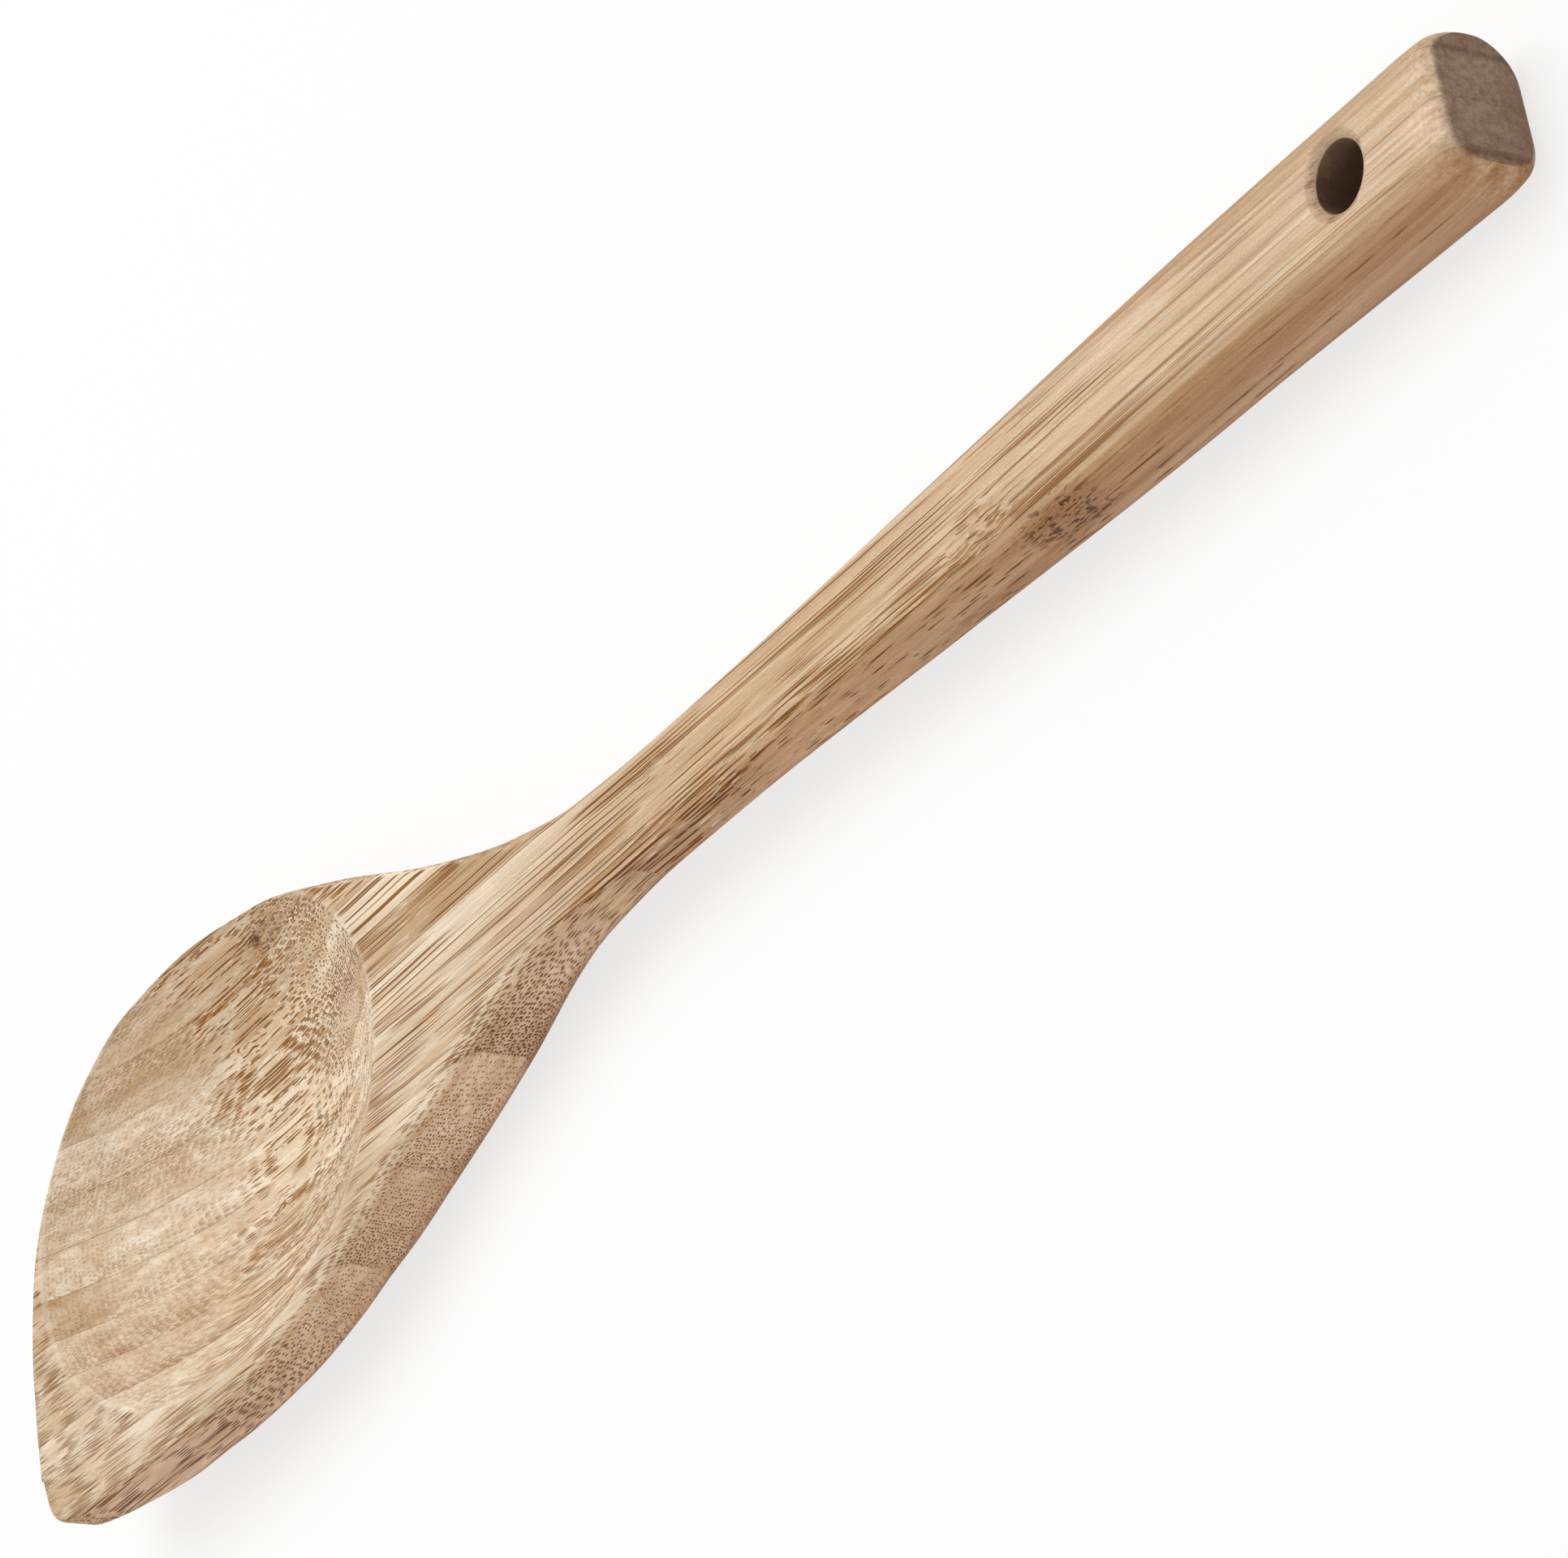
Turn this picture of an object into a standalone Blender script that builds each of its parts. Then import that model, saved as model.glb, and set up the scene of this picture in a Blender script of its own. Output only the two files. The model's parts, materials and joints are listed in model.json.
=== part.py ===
"""Cooking spoon milled from a board of bamboo strips that are glued face to face.

The spoon lies on its back. +X runs from the pointed tip of the bowl to the butt of the handle,
+Y to the far side of the bowl and +Z out of the hollow. The origin is under the middle of its box,
and y = 0 is the glue joint that runs along the middle of the handle.
Every named size is in millimetres, and MM turns it into metres.
"""

import bmesh
import bpy
import numpy as np
from mathutils import Matrix, Vector

MM = 0.001

# Driving sizes of the board
LENGTH = 300.0
STRIP = 6.0
GLUE_GAP = 0.3
HANDLE_TOP = 13.0
TIP_RISE = 2.6
RISE_START = -60.0

# Plan of the far edge, from the tip corner round the bowl to the butt
FAR_EDGE = (
    (-150.0, -22.5), (-149.7, -11.5), (-146.6, 3.9), (-139.8, 15.5), (-130.3, 23.75), (-118.0, 28.75),
    (-103.5, 30.3), (-87.0, 28.4), (-68.0, 22.45), (-47.5, 14.15), (-30.0, 8.8), (-16.0, 6.5), (0.0, 6.0),
    (20.0, 6.2), (62.0, 7.3), (108.0, 8.5), (150.0, 9.0),
)

# Plan of the near edge, from the tip corner along the bowl to the butt
NEAR_EDGE = (
    (-150.0, -22.5), (-149.2, -27.1), (-145.5, -29.8), (-138.0, -30.3), (-116.0, -30.3), (-102.0, -29.4),
    (-90.0, -27.35), (-78.0, -23.75), (-64.0, -18.05), (-48.0, -13.1), (-34.0, -8.85), (-22.0, -6.7), (-8.0, -6.0),
    (10.0, -6.0), (50.0, -7.1), (100.0, -8.5), (150.0, -8.3),
)

# Height of the underside at places along the spoon
UNDERSIDE = (
    (-150.0, 10.9), (-146.0, 8.2), (-139.0, 4.9), (-127.0, 1.25), (-112.0, 0.1), (-98.0, 0.0), (-66.0, 0.0),
    (-46.0, 1.2), (-26.0, 3.4), (0.0, 4.3), (24.0, 3.9), (62.0, 3.1), (104.0, 2.35), (128.0, 1.25), (150.0, 0.3),
)

# Rounding of the long edges at places along the spoon: x, reach across, reach in height
TOP_ROUND = ((-150.0, 0.8, 0.6), (-60.0, 1.2, 1.0), (-20.0, 2.2, 2.0), (30.0, 2.6, 2.4), (150.0, 3.6, 3.4))
BOTTOM_ROUND = (
    (-150.0, 2.0, 1.6), (-138.0, 9.0, 4.6), (-112.0, 20.0, 6.8), (-92.0, 19.0, 6.8), (-64.0, 8.0, 4.8),
    (-30.0, 4.2, 3.6), (10.0, 3.0, 2.8), (150.0, 4.0, 3.8),
)

# How much further the long far edges are rounded: they grow softer towards the butt
FAR_EXTRA = ((-150.0, 0.0), (100.0, 0.0), (150.0, 1.2))

# How much further the near edge of the top is rounded, and how much of that is in height
NEAR_EXTRA = (
    (-150.0, 0.0), (-128.0, 0.5), (-95.0, 1.6), (-45.0, 1.6), (-15.0, 0.5), (40.0, 0.0), (150.0, 0.0),
)
NEAR_EXTRA_HIGH = 0.4

# Rounding of the edges round the butt's end face, which cuts them off just before they are full
BUTT_ROUND = 1.9
BUTT_CORNER = 5.8
BUTT_CORNER_FAR = 0.9
BUTT_CORNER_NEAR = 1.7
BUTT_ROUND_OVER = 1.04

# Hollow of the bowl: a dish with an oval mouth
HOLLOW_CENTRE = (-101.8, 2.6)
HOLLOW_HALF_LENGTH = 38.7
HOLLOW_HALF_WIDTH = 28.1
HOLLOW_TURN = 5.0
HOLLOW_FLOOR = 3.2

# Hanging hole, a little to the far side of the joint along the middle of the handle
HOLE_X = 133.0
HOLE_Y = 0.75
HOLE_RADIUS = 4.0
HOLE_RIM = 0.6

# Where the leftovers beside the two middle strips begin along the handle
HANDLE_EDGE_START = 34.0

# Fineness of the milled form and its tools
CORNER_STEPS = 4
FLAT_STEPS = 8
MOST_ROUND = 0.48
TIP_STATIONS = 9
TIP_ZONE = 12.0
TIP_SHARES = (0.06, 0.94)
BOWL_STATIONS = 20
BOWL_END = -10.0
HANDLE_STATIONS = 14
HANDLE_START = 0.0
BUTT_STATIONS = 6
EDGE_STEPS = 400
HOLLOW_STEPS = 52
HOLLOW_RINGS = 11
HOLE_STEPS = 32
SHARP_ANGLE = np.radians(35)

BAMBOO = (0.71, 0.52, 0.34)
ROUGHNESS = 0.55

# Strips from the far side to the near side: name, number of the joint on the near face, x range, tone
WHOLE = (-LENGTH, LENGTH)
BOWL = (-LENGTH, 0.0)
HANDLE = (HANDLE_EDGE_START, LENGTH)
STRIPS = (
    ("far_rim_strip", 4, BOWL, 0.90),
    ("far_outer_strip", 3, BOWL, 0.97),
    ("far_bowl_strip", 2, BOWL, 1.03),
    ("far_shoulder_strip", 1, BOWL, 0.84),
    ("far_handle_edge", 1, HANDLE, 0.95),
    ("far_core_strip", 0, WHOLE, 1.04),
    ("near_core_strip", -1, WHOLE, 1.00),
    ("near_handle_edge", -2, HANDLE, 0.97),
    ("near_shoulder_strip", -2, BOWL, 1.05),
    ("near_bowl_strip", -3, BOWL, 0.99),
    ("near_outer_strip", -4, BOWL, 1.02),
    ("near_rim_strip", -5, BOWL, 0.93),
)
OUTERMOST_JOINT = 4
OUTER_ROOM = 4.0


def smooth(knots, values, at):
    """Reads a smooth curve through the knots that never swings past a knot's value."""
    knots = np.asarray(knots, float)
    values = np.asarray(values, float)
    step = np.diff(knots)
    slope = np.diff(values) / step
    tangent = np.concatenate([slope[:1], np.zeros(len(slope) - 1), slope[-1:]])
    before, after = slope[:-1], slope[1:]
    same_way = before * after > 0
    tangent[1:-1][same_way] = 2 * (before * after)[same_way] / (before + after)[same_way]
    span = np.clip(np.searchsorted(knots, at, side="right") - 1, 0, len(step) - 1)
    t = (np.asarray(at, float) - knots[span]) / step[span]
    rise = step[span] * (tangent[span] * (1 - t) - tangent[span + 1] * t) * t * (1 - t)
    return values[span] + (values[span + 1] - values[span]) * t * t * (3 - 2 * t) + rise


def along(table, x, column=1):
    """Reads one column of a table of places along the spoon."""
    return smooth([row[0] for row in table], [row[column] for row in table], x)


def edge_path(points):
    """Turns the few points of an edge into a fine smooth line, by distance along it."""
    points = np.array(points)
    distance = np.concatenate([[0], np.cumsum(np.hypot(*np.diff(points, axis=0).T))])
    at = np.linspace(0, distance[-1], EDGE_STEPS)
    return smooth(distance, points[:, 0], at), smooth(distance, points[:, 1], at)


FAR_PATH = edge_path(FAR_EDGE)
NEAR_PATH = edge_path(NEAR_EDGE)


def edge_at(path, x):
    """Gives the edge's y and its slope at x."""
    reach = 0.5
    slope = (np.interp(x + reach, *path) - np.interp(x - reach, *path)) / (2 * reach)
    return np.interp(x, *path), slope


def top_height(x):
    """The top is level along the handle and lifts gently towards the tip."""
    lift = max(0.0, (RISE_START - x) / (RISE_START + LENGTH / 2))
    return HANDLE_TOP + TIP_RISE * lift**2


def quarter_drop(x, reach):
    """How far a quarter round at the butt has dropped at x, as a share of its height."""
    into = max(0.0, x - (LENGTH / 2 - reach)) / (reach * BUTT_ROUND_OVER)
    return 1 - np.sqrt(1 - into**2)


def corner(centre, reach, start_turn):
    """A quarter of an ellipse, from start_turn quarters anticlockwise round to the next one."""
    turns = np.linspace(start_turn, start_turn + 1, CORNER_STEPS + 1) * np.pi / 2
    return [(centre[0] + reach[0] * np.cos(a), centre[1] + reach[1] * np.sin(a)) for a in turns]


def flat(start, end):
    """The points between two corners, without the corners."""
    shares = np.linspace(0, 1, FLAT_STEPS + 1)[1:-1]
    return [(start[0] + (end[0] - start[0]) * s, start[1] + (end[1] - start[1]) * s) for s in shares]


def section(x):
    """The spoon's outline across its length at x, as (y, z) points, far side first."""
    inset = BUTT_ROUND * quarter_drop(x, BUTT_ROUND)
    far, far_slope = edge_at(FAR_PATH, x)
    near, near_slope = edge_at(NEAR_PATH, x)
    far -= BUTT_CORNER_FAR * quarter_drop(x, BUTT_CORNER)
    near += BUTT_CORNER_NEAR * quarter_drop(x, BUTT_CORNER)
    top, bottom = top_height(x) - inset, along(UNDERSIDE, x) + inset
    most_across, most_high = MOST_ROUND * (far - near), MOST_ROUND * (top - bottom)
    across, high = along(TOP_ROUND, x, 1), min(along(TOP_ROUND, x, 2), most_high)
    far_top = min(across * np.hypot(1, far_slope), most_across)
    near_extra = along(NEAR_EXTRA, x)
    near_top = min((across + near_extra) * np.hypot(1, near_slope), most_across)
    near_high = min(high + NEAR_EXTRA_HIGH * near_extra, most_high)
    low, low_high = min(along(BOTTOM_ROUND, x, 1), most_across), min(along(BOTTOM_ROUND, x, 2), most_high)
    extra = along(FAR_EXTRA, x)
    far_high = min(high + extra, most_high)
    far_low, far_low_high = min(low + extra, most_across), min(low_high + extra, most_high)
    corners = [
        corner((far - far_top, top - far_high), (far_top, far_high), 0),
        corner((near + near_top, top - near_high), (near_top, near_high), 1),
        corner((near + low, bottom + low_high), (low, low_high), 2),
        corner((far - far_low, bottom + far_low_high), (far_low, far_low_high), 3),
    ]
    over = flat(corners[0][-1], corners[1][0])
    under = flat(corners[2][-1], corners[3][0])
    return corners[0] + over + corners[1] + corners[2] + under + corners[3]


def stations():
    """Places along the spoon where the form has a section, closer together where it turns quickly."""
    tip, butt = -LENGTH / 2, LENGTH / 2
    tip_end = tip + TIP_ZONE
    shares = np.linspace(*TIP_SHARES, TIP_STATIONS)
    corner_start = butt - BUTT_CORNER
    turns = np.linspace(0, np.pi / 2, BUTT_STATIONS + 1)
    return np.concatenate([
        tip + TIP_ZONE * shares**2,
        np.linspace(tip_end, BOWL_END, BOWL_STATIONS),
        np.linspace(HANDLE_START, corner_start, HANDLE_STATIONS)[:-1],
        corner_start + BUTT_CORNER * np.sin(turns),
    ])


def new_object(name, mesh, tool=False):
    """Puts a mesh in the scene, as a piece or as a milling tool that isn't part of the spoon."""
    made = bpy.data.objects.new(name, mesh)
    bpy.context.scene.collection.objects.link(made)
    made.hide_render = tool
    if tool:
        made.display_type = "WIRE"
    return made


def to_mesh(shape, name):
    """Turns a bmesh in millimetres into a closed mesh in metres with its faces pointing out."""
    bmesh.ops.scale(shape, vec=Vector((MM, MM, MM)), verts=shape.verts)
    bmesh.ops.recalc_face_normals(shape, faces=shape.faces)
    mesh = bpy.data.meshes.new(name)
    shape.to_mesh(mesh)
    shape.free()
    return mesh


def milled_form():
    """The outer shape of the whole spoon: sections along its length, bridged and capped."""
    shape = bmesh.new()
    rings = []
    for x in stations():
        ring = [shape.verts.new((x, y, z)) for y, z in section(x)]
        rings.append([shape.edges.new((a, b)) for a, b in zip(ring, ring[1:] + ring[:1])])
    for ring, following in zip(rings, rings[1:]):
        bmesh.ops.bridge_loops(shape, edges=ring + following)
    bmesh.ops.holes_fill(shape, edges=rings[0] + rings[-1])
    return new_object("milled_form", to_mesh(shape, "milled_form"), tool=True)


def turned(profile, steps):
    """A closed tool turned about Z from a profile of (radius, z) points that starts and ends on the axis."""
    shape = bmesh.new()
    line = [shape.verts.new((radius, 0, z)) for radius, z in profile]
    edges = [shape.edges.new(pair) for pair in zip(line, line[1:])]
    bmesh.ops.spin(
        shape, geom=line + edges, axis=(0, 0, 1), cent=(0, 0, 0), angle=2 * np.pi, steps=steps, use_merge=True
    )
    bmesh.ops.remove_doubles(shape, verts=shape.verts, dist=0.0001)
    return shape


def hollow_tool():
    """A dish that deepens with the square of the distance from its mouth, turned and then made oval."""
    depth = HANDLE_TOP - HOLLOW_FLOOR
    past_mouth = 1.25
    shares = np.linspace(0, past_mouth, HOLLOW_RINGS)
    profile = [(share, HOLLOW_FLOOR + depth * share**2) for share in shares]
    shape = turned(profile + [(0, profile[-1][1])], HOLLOW_STEPS)
    bmesh.ops.scale(shape, vec=Vector((HOLLOW_HALF_LENGTH, HOLLOW_HALF_WIDTH, 1)), verts=shape.verts)
    turn = Matrix.Rotation(np.radians(HOLLOW_TURN), 3, "Z")
    bmesh.ops.rotate(shape, matrix=turn, verts=shape.verts)
    bmesh.ops.translate(shape, vec=Vector((*HOLLOW_CENTRE, 0)), verts=shape.verts)
    return new_object("hollow_tool", to_mesh(shape, "hollow_tool"), tool=True)


def hole_tool():
    """A drill for the hanging hole that also breaks the rim on both faces."""
    top, bottom, past = HANDLE_TOP, float(along(UNDERSIDE, HOLE_X)), 2.0
    wide = HOLE_RADIUS + HOLE_RIM
    profile = [
        (0, bottom - past), (wide + past, bottom - past), (HOLE_RADIUS, bottom + HOLE_RIM),
        (HOLE_RADIUS, top - HOLE_RIM), (wide + past, top + past), (0, top + past),
    ]
    shape = turned(profile, HOLE_STEPS)
    bmesh.ops.translate(shape, vec=Vector((HOLE_X, HOLE_Y, 0)), verts=shape.verts)
    return new_object("hole_tool", to_mesh(shape, "hole_tool"), tool=True)


def bamboo(name, tone):
    """Plain satin bamboo of one strip's tone."""
    material = bpy.data.materials.new(name)
    material.use_nodes = True
    shader = material.node_tree.nodes["Principled BSDF"]
    shader.inputs["Base Color"].default_value = (*[channel * tone for channel in BAMBOO], 1)
    shader.inputs["Roughness"].default_value = ROUGHNESS
    shader.inputs["Metallic"].default_value = 0.0
    return material


def strip_blank(name, joint, x_range):
    """A square-edged bamboo strip, half a glue gap short of the joint on each side."""
    low = joint * STRIP + GLUE_GAP / 2
    high = (joint + 1) * STRIP - GLUE_GAP / 2
    if joint == OUTERMOST_JOINT:
        high += OUTER_ROOM
    if joint == -OUTERMOST_JOINT - 1:
        low -= OUTER_ROOM
    height = HANDLE_TOP + TIP_RISE + 2 * OUTER_ROOM
    size = Vector((x_range[1] - x_range[0], high - low, height))
    middle = Vector(((x_range[0] + x_range[1]) / 2, (low + high) / 2, height / 2 - OUTER_ROOM))
    shape = bmesh.new()
    bmesh.ops.create_cube(shape, size=1)
    bmesh.ops.scale(shape, vec=size, verts=shape.verts)
    bmesh.ops.translate(shape, vec=middle, verts=shape.verts)
    return new_object(name, to_mesh(shape, name))


def mill(piece, operation, tool):
    """Shapes a piece with a tool."""
    cut = piece.modifiers.new(tool.name, "BOOLEAN")
    cut.operation = operation
    cut.object = tool
    cut.solver = "EXACT"


def finish(piece):
    """Keeps the milled result as the piece's own mesh, smooth apart from its sharp edges."""
    milled = piece.evaluated_get(bpy.context.evaluated_depsgraph_get())
    mesh = bpy.data.meshes.new_from_object(milled)
    mesh.name = piece.name
    mesh.shade_smooth()
    mesh.set_sharp_from_angle(angle=SHARP_ANGLE)
    piece.modifiers.clear()
    piece.data = mesh


def clear_scene():
    for thing in list(bpy.data.objects):
        bpy.data.objects.remove(thing, do_unlink=True)


def main():
    clear_scene()
    form = milled_form()
    mill(form, "DIFFERENCE", hollow_tool())
    mill(form, "DIFFERENCE", hole_tool())
    for name, joint, x_range, tone in STRIPS:
        piece = strip_blank(name, joint, x_range)
        piece.data.materials.append(bamboo(f"bamboo_{name}", tone))
        mill(piece, "INTERSECT", form)
        finish(piece)


main()
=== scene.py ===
# %% [markdown]
# # A cooking spoon of glued bamboo strips
# The real spoon starts as a board: bamboo strips, 6 mm thick, stand on edge and are glued face to face. A
# milling cutter then gives the board its outline, its underside and its hollow, a drill makes the hanging
# hole, and a sanding belt rounds every edge. This lesson works in the same order: one fine milled form, a
# dish carved into it, a hole, and then cuts along the glue joints into the twelve strips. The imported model
# is the frame: every strip made here stands for the node of the same name.

# %% Frame
import json
import math
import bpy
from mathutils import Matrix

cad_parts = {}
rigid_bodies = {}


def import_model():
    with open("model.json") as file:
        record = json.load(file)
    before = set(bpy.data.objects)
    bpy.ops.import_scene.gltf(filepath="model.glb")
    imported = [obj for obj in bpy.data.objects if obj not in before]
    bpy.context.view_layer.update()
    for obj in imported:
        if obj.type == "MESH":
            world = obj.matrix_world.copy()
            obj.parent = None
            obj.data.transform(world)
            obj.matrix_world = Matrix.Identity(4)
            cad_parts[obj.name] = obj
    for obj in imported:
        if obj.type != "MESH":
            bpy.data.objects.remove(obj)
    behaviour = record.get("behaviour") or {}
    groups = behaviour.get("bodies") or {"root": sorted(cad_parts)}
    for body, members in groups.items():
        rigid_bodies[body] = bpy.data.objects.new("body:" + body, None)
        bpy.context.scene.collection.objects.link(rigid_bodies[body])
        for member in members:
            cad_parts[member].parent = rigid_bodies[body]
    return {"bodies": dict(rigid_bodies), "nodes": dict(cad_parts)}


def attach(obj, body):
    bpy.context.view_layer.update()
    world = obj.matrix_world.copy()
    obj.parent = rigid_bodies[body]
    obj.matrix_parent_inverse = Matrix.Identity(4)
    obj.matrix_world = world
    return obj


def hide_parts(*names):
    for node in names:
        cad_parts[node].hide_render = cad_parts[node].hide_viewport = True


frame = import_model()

from types import SimpleNamespace

import bmesh
import bpy
import numpy as np
from mathutils import Matrix, Vector

MM = 0.001
framed = set(frame["bodies"].values()) | set(frame["nodes"].values())
for leftover in [thing for thing in bpy.data.objects if thing not in framed]:
    bpy.data.objects.remove(leftover, do_unlink=True)
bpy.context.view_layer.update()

# %% [markdown]
# ## Camera
# The spoon is seen from the butt, from above and from its near side, through a long lens, so it hardly
# tapers with distance. A camera could be aimed with a Track To constraint, but then it would stand upright.
# Here it is rolled about its own axis too, so its three axes are worked out and written into its matrix.

# %% Camera
AZIMUTH = math.radians(57.6)
ELEVATION = math.radians(33.0)
ROLL = math.radians(-81.35)
TARGET = Vector((25.05, -12.28, 13.0)) * MM
DISTANCE = 812.6 * MM
SENSOR = 36.0
LENS = 168.3


def look_from(azimuth, elevation, roll):
    """The camera's own right, up and back directions."""
    back = Vector((
        math.sin(azimuth) * math.cos(elevation),
        -math.cos(azimuth) * math.cos(elevation),
        math.sin(elevation),
    ))
    level = Vector((math.cos(azimuth), math.sin(azimuth), 0))
    upright = back.cross(level)
    right = math.cos(roll) * level + math.sin(roll) * upright
    return right, back.cross(right), back


def add_camera():
    """A long lens on the photograph's side of the spoon."""
    lens = bpy.data.cameras.new("camera")
    lens.lens = LENS
    lens.sensor_fit = "HORIZONTAL"
    lens.sensor_width = SENSOR
    camera = bpy.data.objects.new("camera", lens)
    bpy.context.scene.collection.objects.link(camera)
    right, up, back = look_from(AZIMUTH, ELEVATION, ROLL)
    turn = Matrix((right, up, back)).transposed()
    camera.matrix_world = Matrix.Translation(TARGET + DISTANCE * back) @ turn.to_4x4()
    bpy.context.scene.camera = camera
    return camera


camera = add_camera()
print("camera at", [round(v, 3) for v in camera.matrix_world.translation])

# %% [markdown]
# ## The form of the whole spoon
# Seen from above the spoon is two edges, and seen from the side it is a level top and a curved underside. A
# sculpted mesh or a subdivided cage could follow them, but the edges are measured lines, so the form is
# lofted instead: a rounded section stands at every place along the spoon and a grid is rolled round them.
# The edges are kept as a few points with a smooth curve through them that never overshoots.

# %% Sizes of the form in millimetres
LENGTH = 300.0
STRIP = 6.0
HANDLE_TOP = 13.0
TIP_RISE = 2.6
RISE_START = -60.0
FAR_EDGE = (
    (-150.0, -22.5), (-149.7, -11.5), (-146.6, 3.9), (-139.8, 15.5), (-130.3, 23.75), (-118.0, 28.75),
    (-103.5, 30.3), (-87.0, 28.4), (-68.0, 22.45), (-47.5, 14.15), (-30.0, 8.8), (-16.0, 6.5), (0.0, 6.0),
    (20.0, 6.2), (62.0, 7.3), (108.0, 8.5), (150.0, 9.0),
)
NEAR_EDGE = (
    (-150.0, -22.5), (-149.2, -27.1), (-145.5, -29.8), (-138.0, -30.3), (-116.0, -30.3), (-102.0, -29.4),
    (-90.0, -27.35), (-78.0, -23.75), (-64.0, -18.05), (-48.0, -13.1), (-34.0, -8.85), (-22.0, -6.7),
    (-8.0, -6.0), (10.0, -6.0), (50.0, -7.1), (100.0, -8.5), (150.0, -8.3),
)
UNDERSIDE = (
    (-150.0, 10.9), (-146.0, 8.2), (-139.0, 4.9), (-127.0, 1.25), (-112.0, 0.1), (-98.0, 0.0), (-66.0, 0.0),
    (-46.0, 1.2), (-26.0, 3.4), (0.0, 4.3), (24.0, 3.9), (62.0, 3.1), (104.0, 2.35), (128.0, 1.25),
    (150.0, 0.3),
)
TOP_ROUND = ((-150.0, 0.8, 0.6), (-60.0, 1.2, 1.0), (-20.0, 2.2, 2.0), (30.0, 2.6, 2.4), (150.0, 3.6, 3.4))
BOTTOM_ROUND = (
    (-150.0, 2.0, 1.6), (-138.0, 9.0, 4.6), (-112.0, 20.0, 6.8), (-92.0, 19.0, 6.8), (-64.0, 8.0, 4.8),
    (-30.0, 4.2, 3.6), (10.0, 3.0, 2.8), (150.0, 4.0, 3.8),
)
FAR_EXTRA = ((-150.0, 0.0), (100.0, 0.0), (150.0, 1.2))
NEAR_EXTRA = (
    (-150.0, 0.0), (-128.0, 0.5), (-95.0, 1.6), (-45.0, 1.6), (-15.0, 0.5), (40.0, 0.0), (150.0, 0.0),
)
NEAR_EXTRA_HIGH = 0.4
BUTT_ROUND = 1.9
BUTT_CORNER = 5.8
BUTT_CORNER_FAR = 0.9
BUTT_CORNER_NEAR = 1.7
BUTT_ROUND_OVER = 1.04
MOST_ROUND = 0.48
EDGE_STEPS = 400


def smooth(knots, values, at):
    """Reads a smooth curve through the knots that never swings past a knot's value."""
    knots = np.asarray(knots, float)
    values = np.asarray(values, float)
    step = np.diff(knots)
    slope = np.diff(values) / step
    tangent = np.concatenate([slope[:1], np.zeros(len(slope) - 1), slope[-1:]])
    before, after = slope[:-1], slope[1:]
    same_way = before * after > 0
    tangent[1:-1][same_way] = 2 * (before * after)[same_way] / (before + after)[same_way]
    span = np.clip(np.searchsorted(knots, at, side="right") - 1, 0, len(step) - 1)
    t = (np.asarray(at, float) - knots[span]) / step[span]
    rise = step[span] * (tangent[span] * (1 - t) - tangent[span + 1] * t) * t * (1 - t)
    return values[span] + (values[span + 1] - values[span]) * t * t * (3 - 2 * t) + rise


def along(table, x, column=1):
    """Reads one column of a table of places along the spoon."""
    return smooth([row[0] for row in table], [row[column] for row in table], x)


def edge_path(points):
    """Turns the few points of an edge into a fine smooth line, by distance along it."""
    points = np.array(points)
    distance = np.concatenate([[0], np.cumsum(np.hypot(*np.diff(points, axis=0).T))])
    at = np.linspace(0, distance[-1], EDGE_STEPS)
    return smooth(distance, points[:, 0], at), smooth(distance, points[:, 1], at)


FAR_PATH = edge_path(FAR_EDGE)
NEAR_PATH = edge_path(NEAR_EDGE)


def edge_at(path, x):
    """Gives the edge's y and its slope at x."""
    reach = 0.5
    slope = (np.interp(x + reach, *path) - np.interp(x - reach, *path)) / (2 * reach)
    return np.interp(x, *path), slope


def top_height(x):
    """The top is level along the handle and lifts gently towards the tip."""
    lift = max(0.0, (RISE_START - x) / (RISE_START + LENGTH / 2))
    return HANDLE_TOP + TIP_RISE * lift**2


def quarter_drop(x, reach):
    """How far a quarter round at the butt has dropped at x, as a share of its height."""
    into = max(0.0, x - (LENGTH / 2 - reach)) / (reach * BUTT_ROUND_OVER)
    return 1 - np.sqrt(1 - into**2)


print("bowl width in mm", round(FAR_PATH[1].max() - NEAR_PATH[1].min(), 2))

# %% [markdown]
# ## A section across the spoon
# Cut across anywhere, the spoon is a box with four rounded corners. The upper two are small, where sandpaper
# has just broken the edge, and below the bowl the lower two are large and make its round belly. Beveling the
# edges would give round corners of one width, so each section is drawn instead, from quarter ellipses whose
# reach changes along the spoon.

# %% Section across the spoon
CORNER_STEPS = 9
TOP_STEPS = 190
UNDER_STEPS = 40


def corner(centre, reach, start_turn):
    """A quarter of an ellipse, from start_turn quarters anticlockwise round to the next one."""
    turns = np.linspace(start_turn, start_turn + 1, CORNER_STEPS + 1) * np.pi / 2
    return [(centre[0] + reach[0] * np.cos(a), centre[1] + reach[1] * np.sin(a)) for a in turns]


def flat(start, end, steps):
    """The points between two corners, without the corners."""
    shares = np.linspace(0, 1, steps + 1)[1:-1]
    return [(start[0] + (end[0] - start[0]) * s, start[1] + (end[1] - start[1]) * s) for s in shares]


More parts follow.
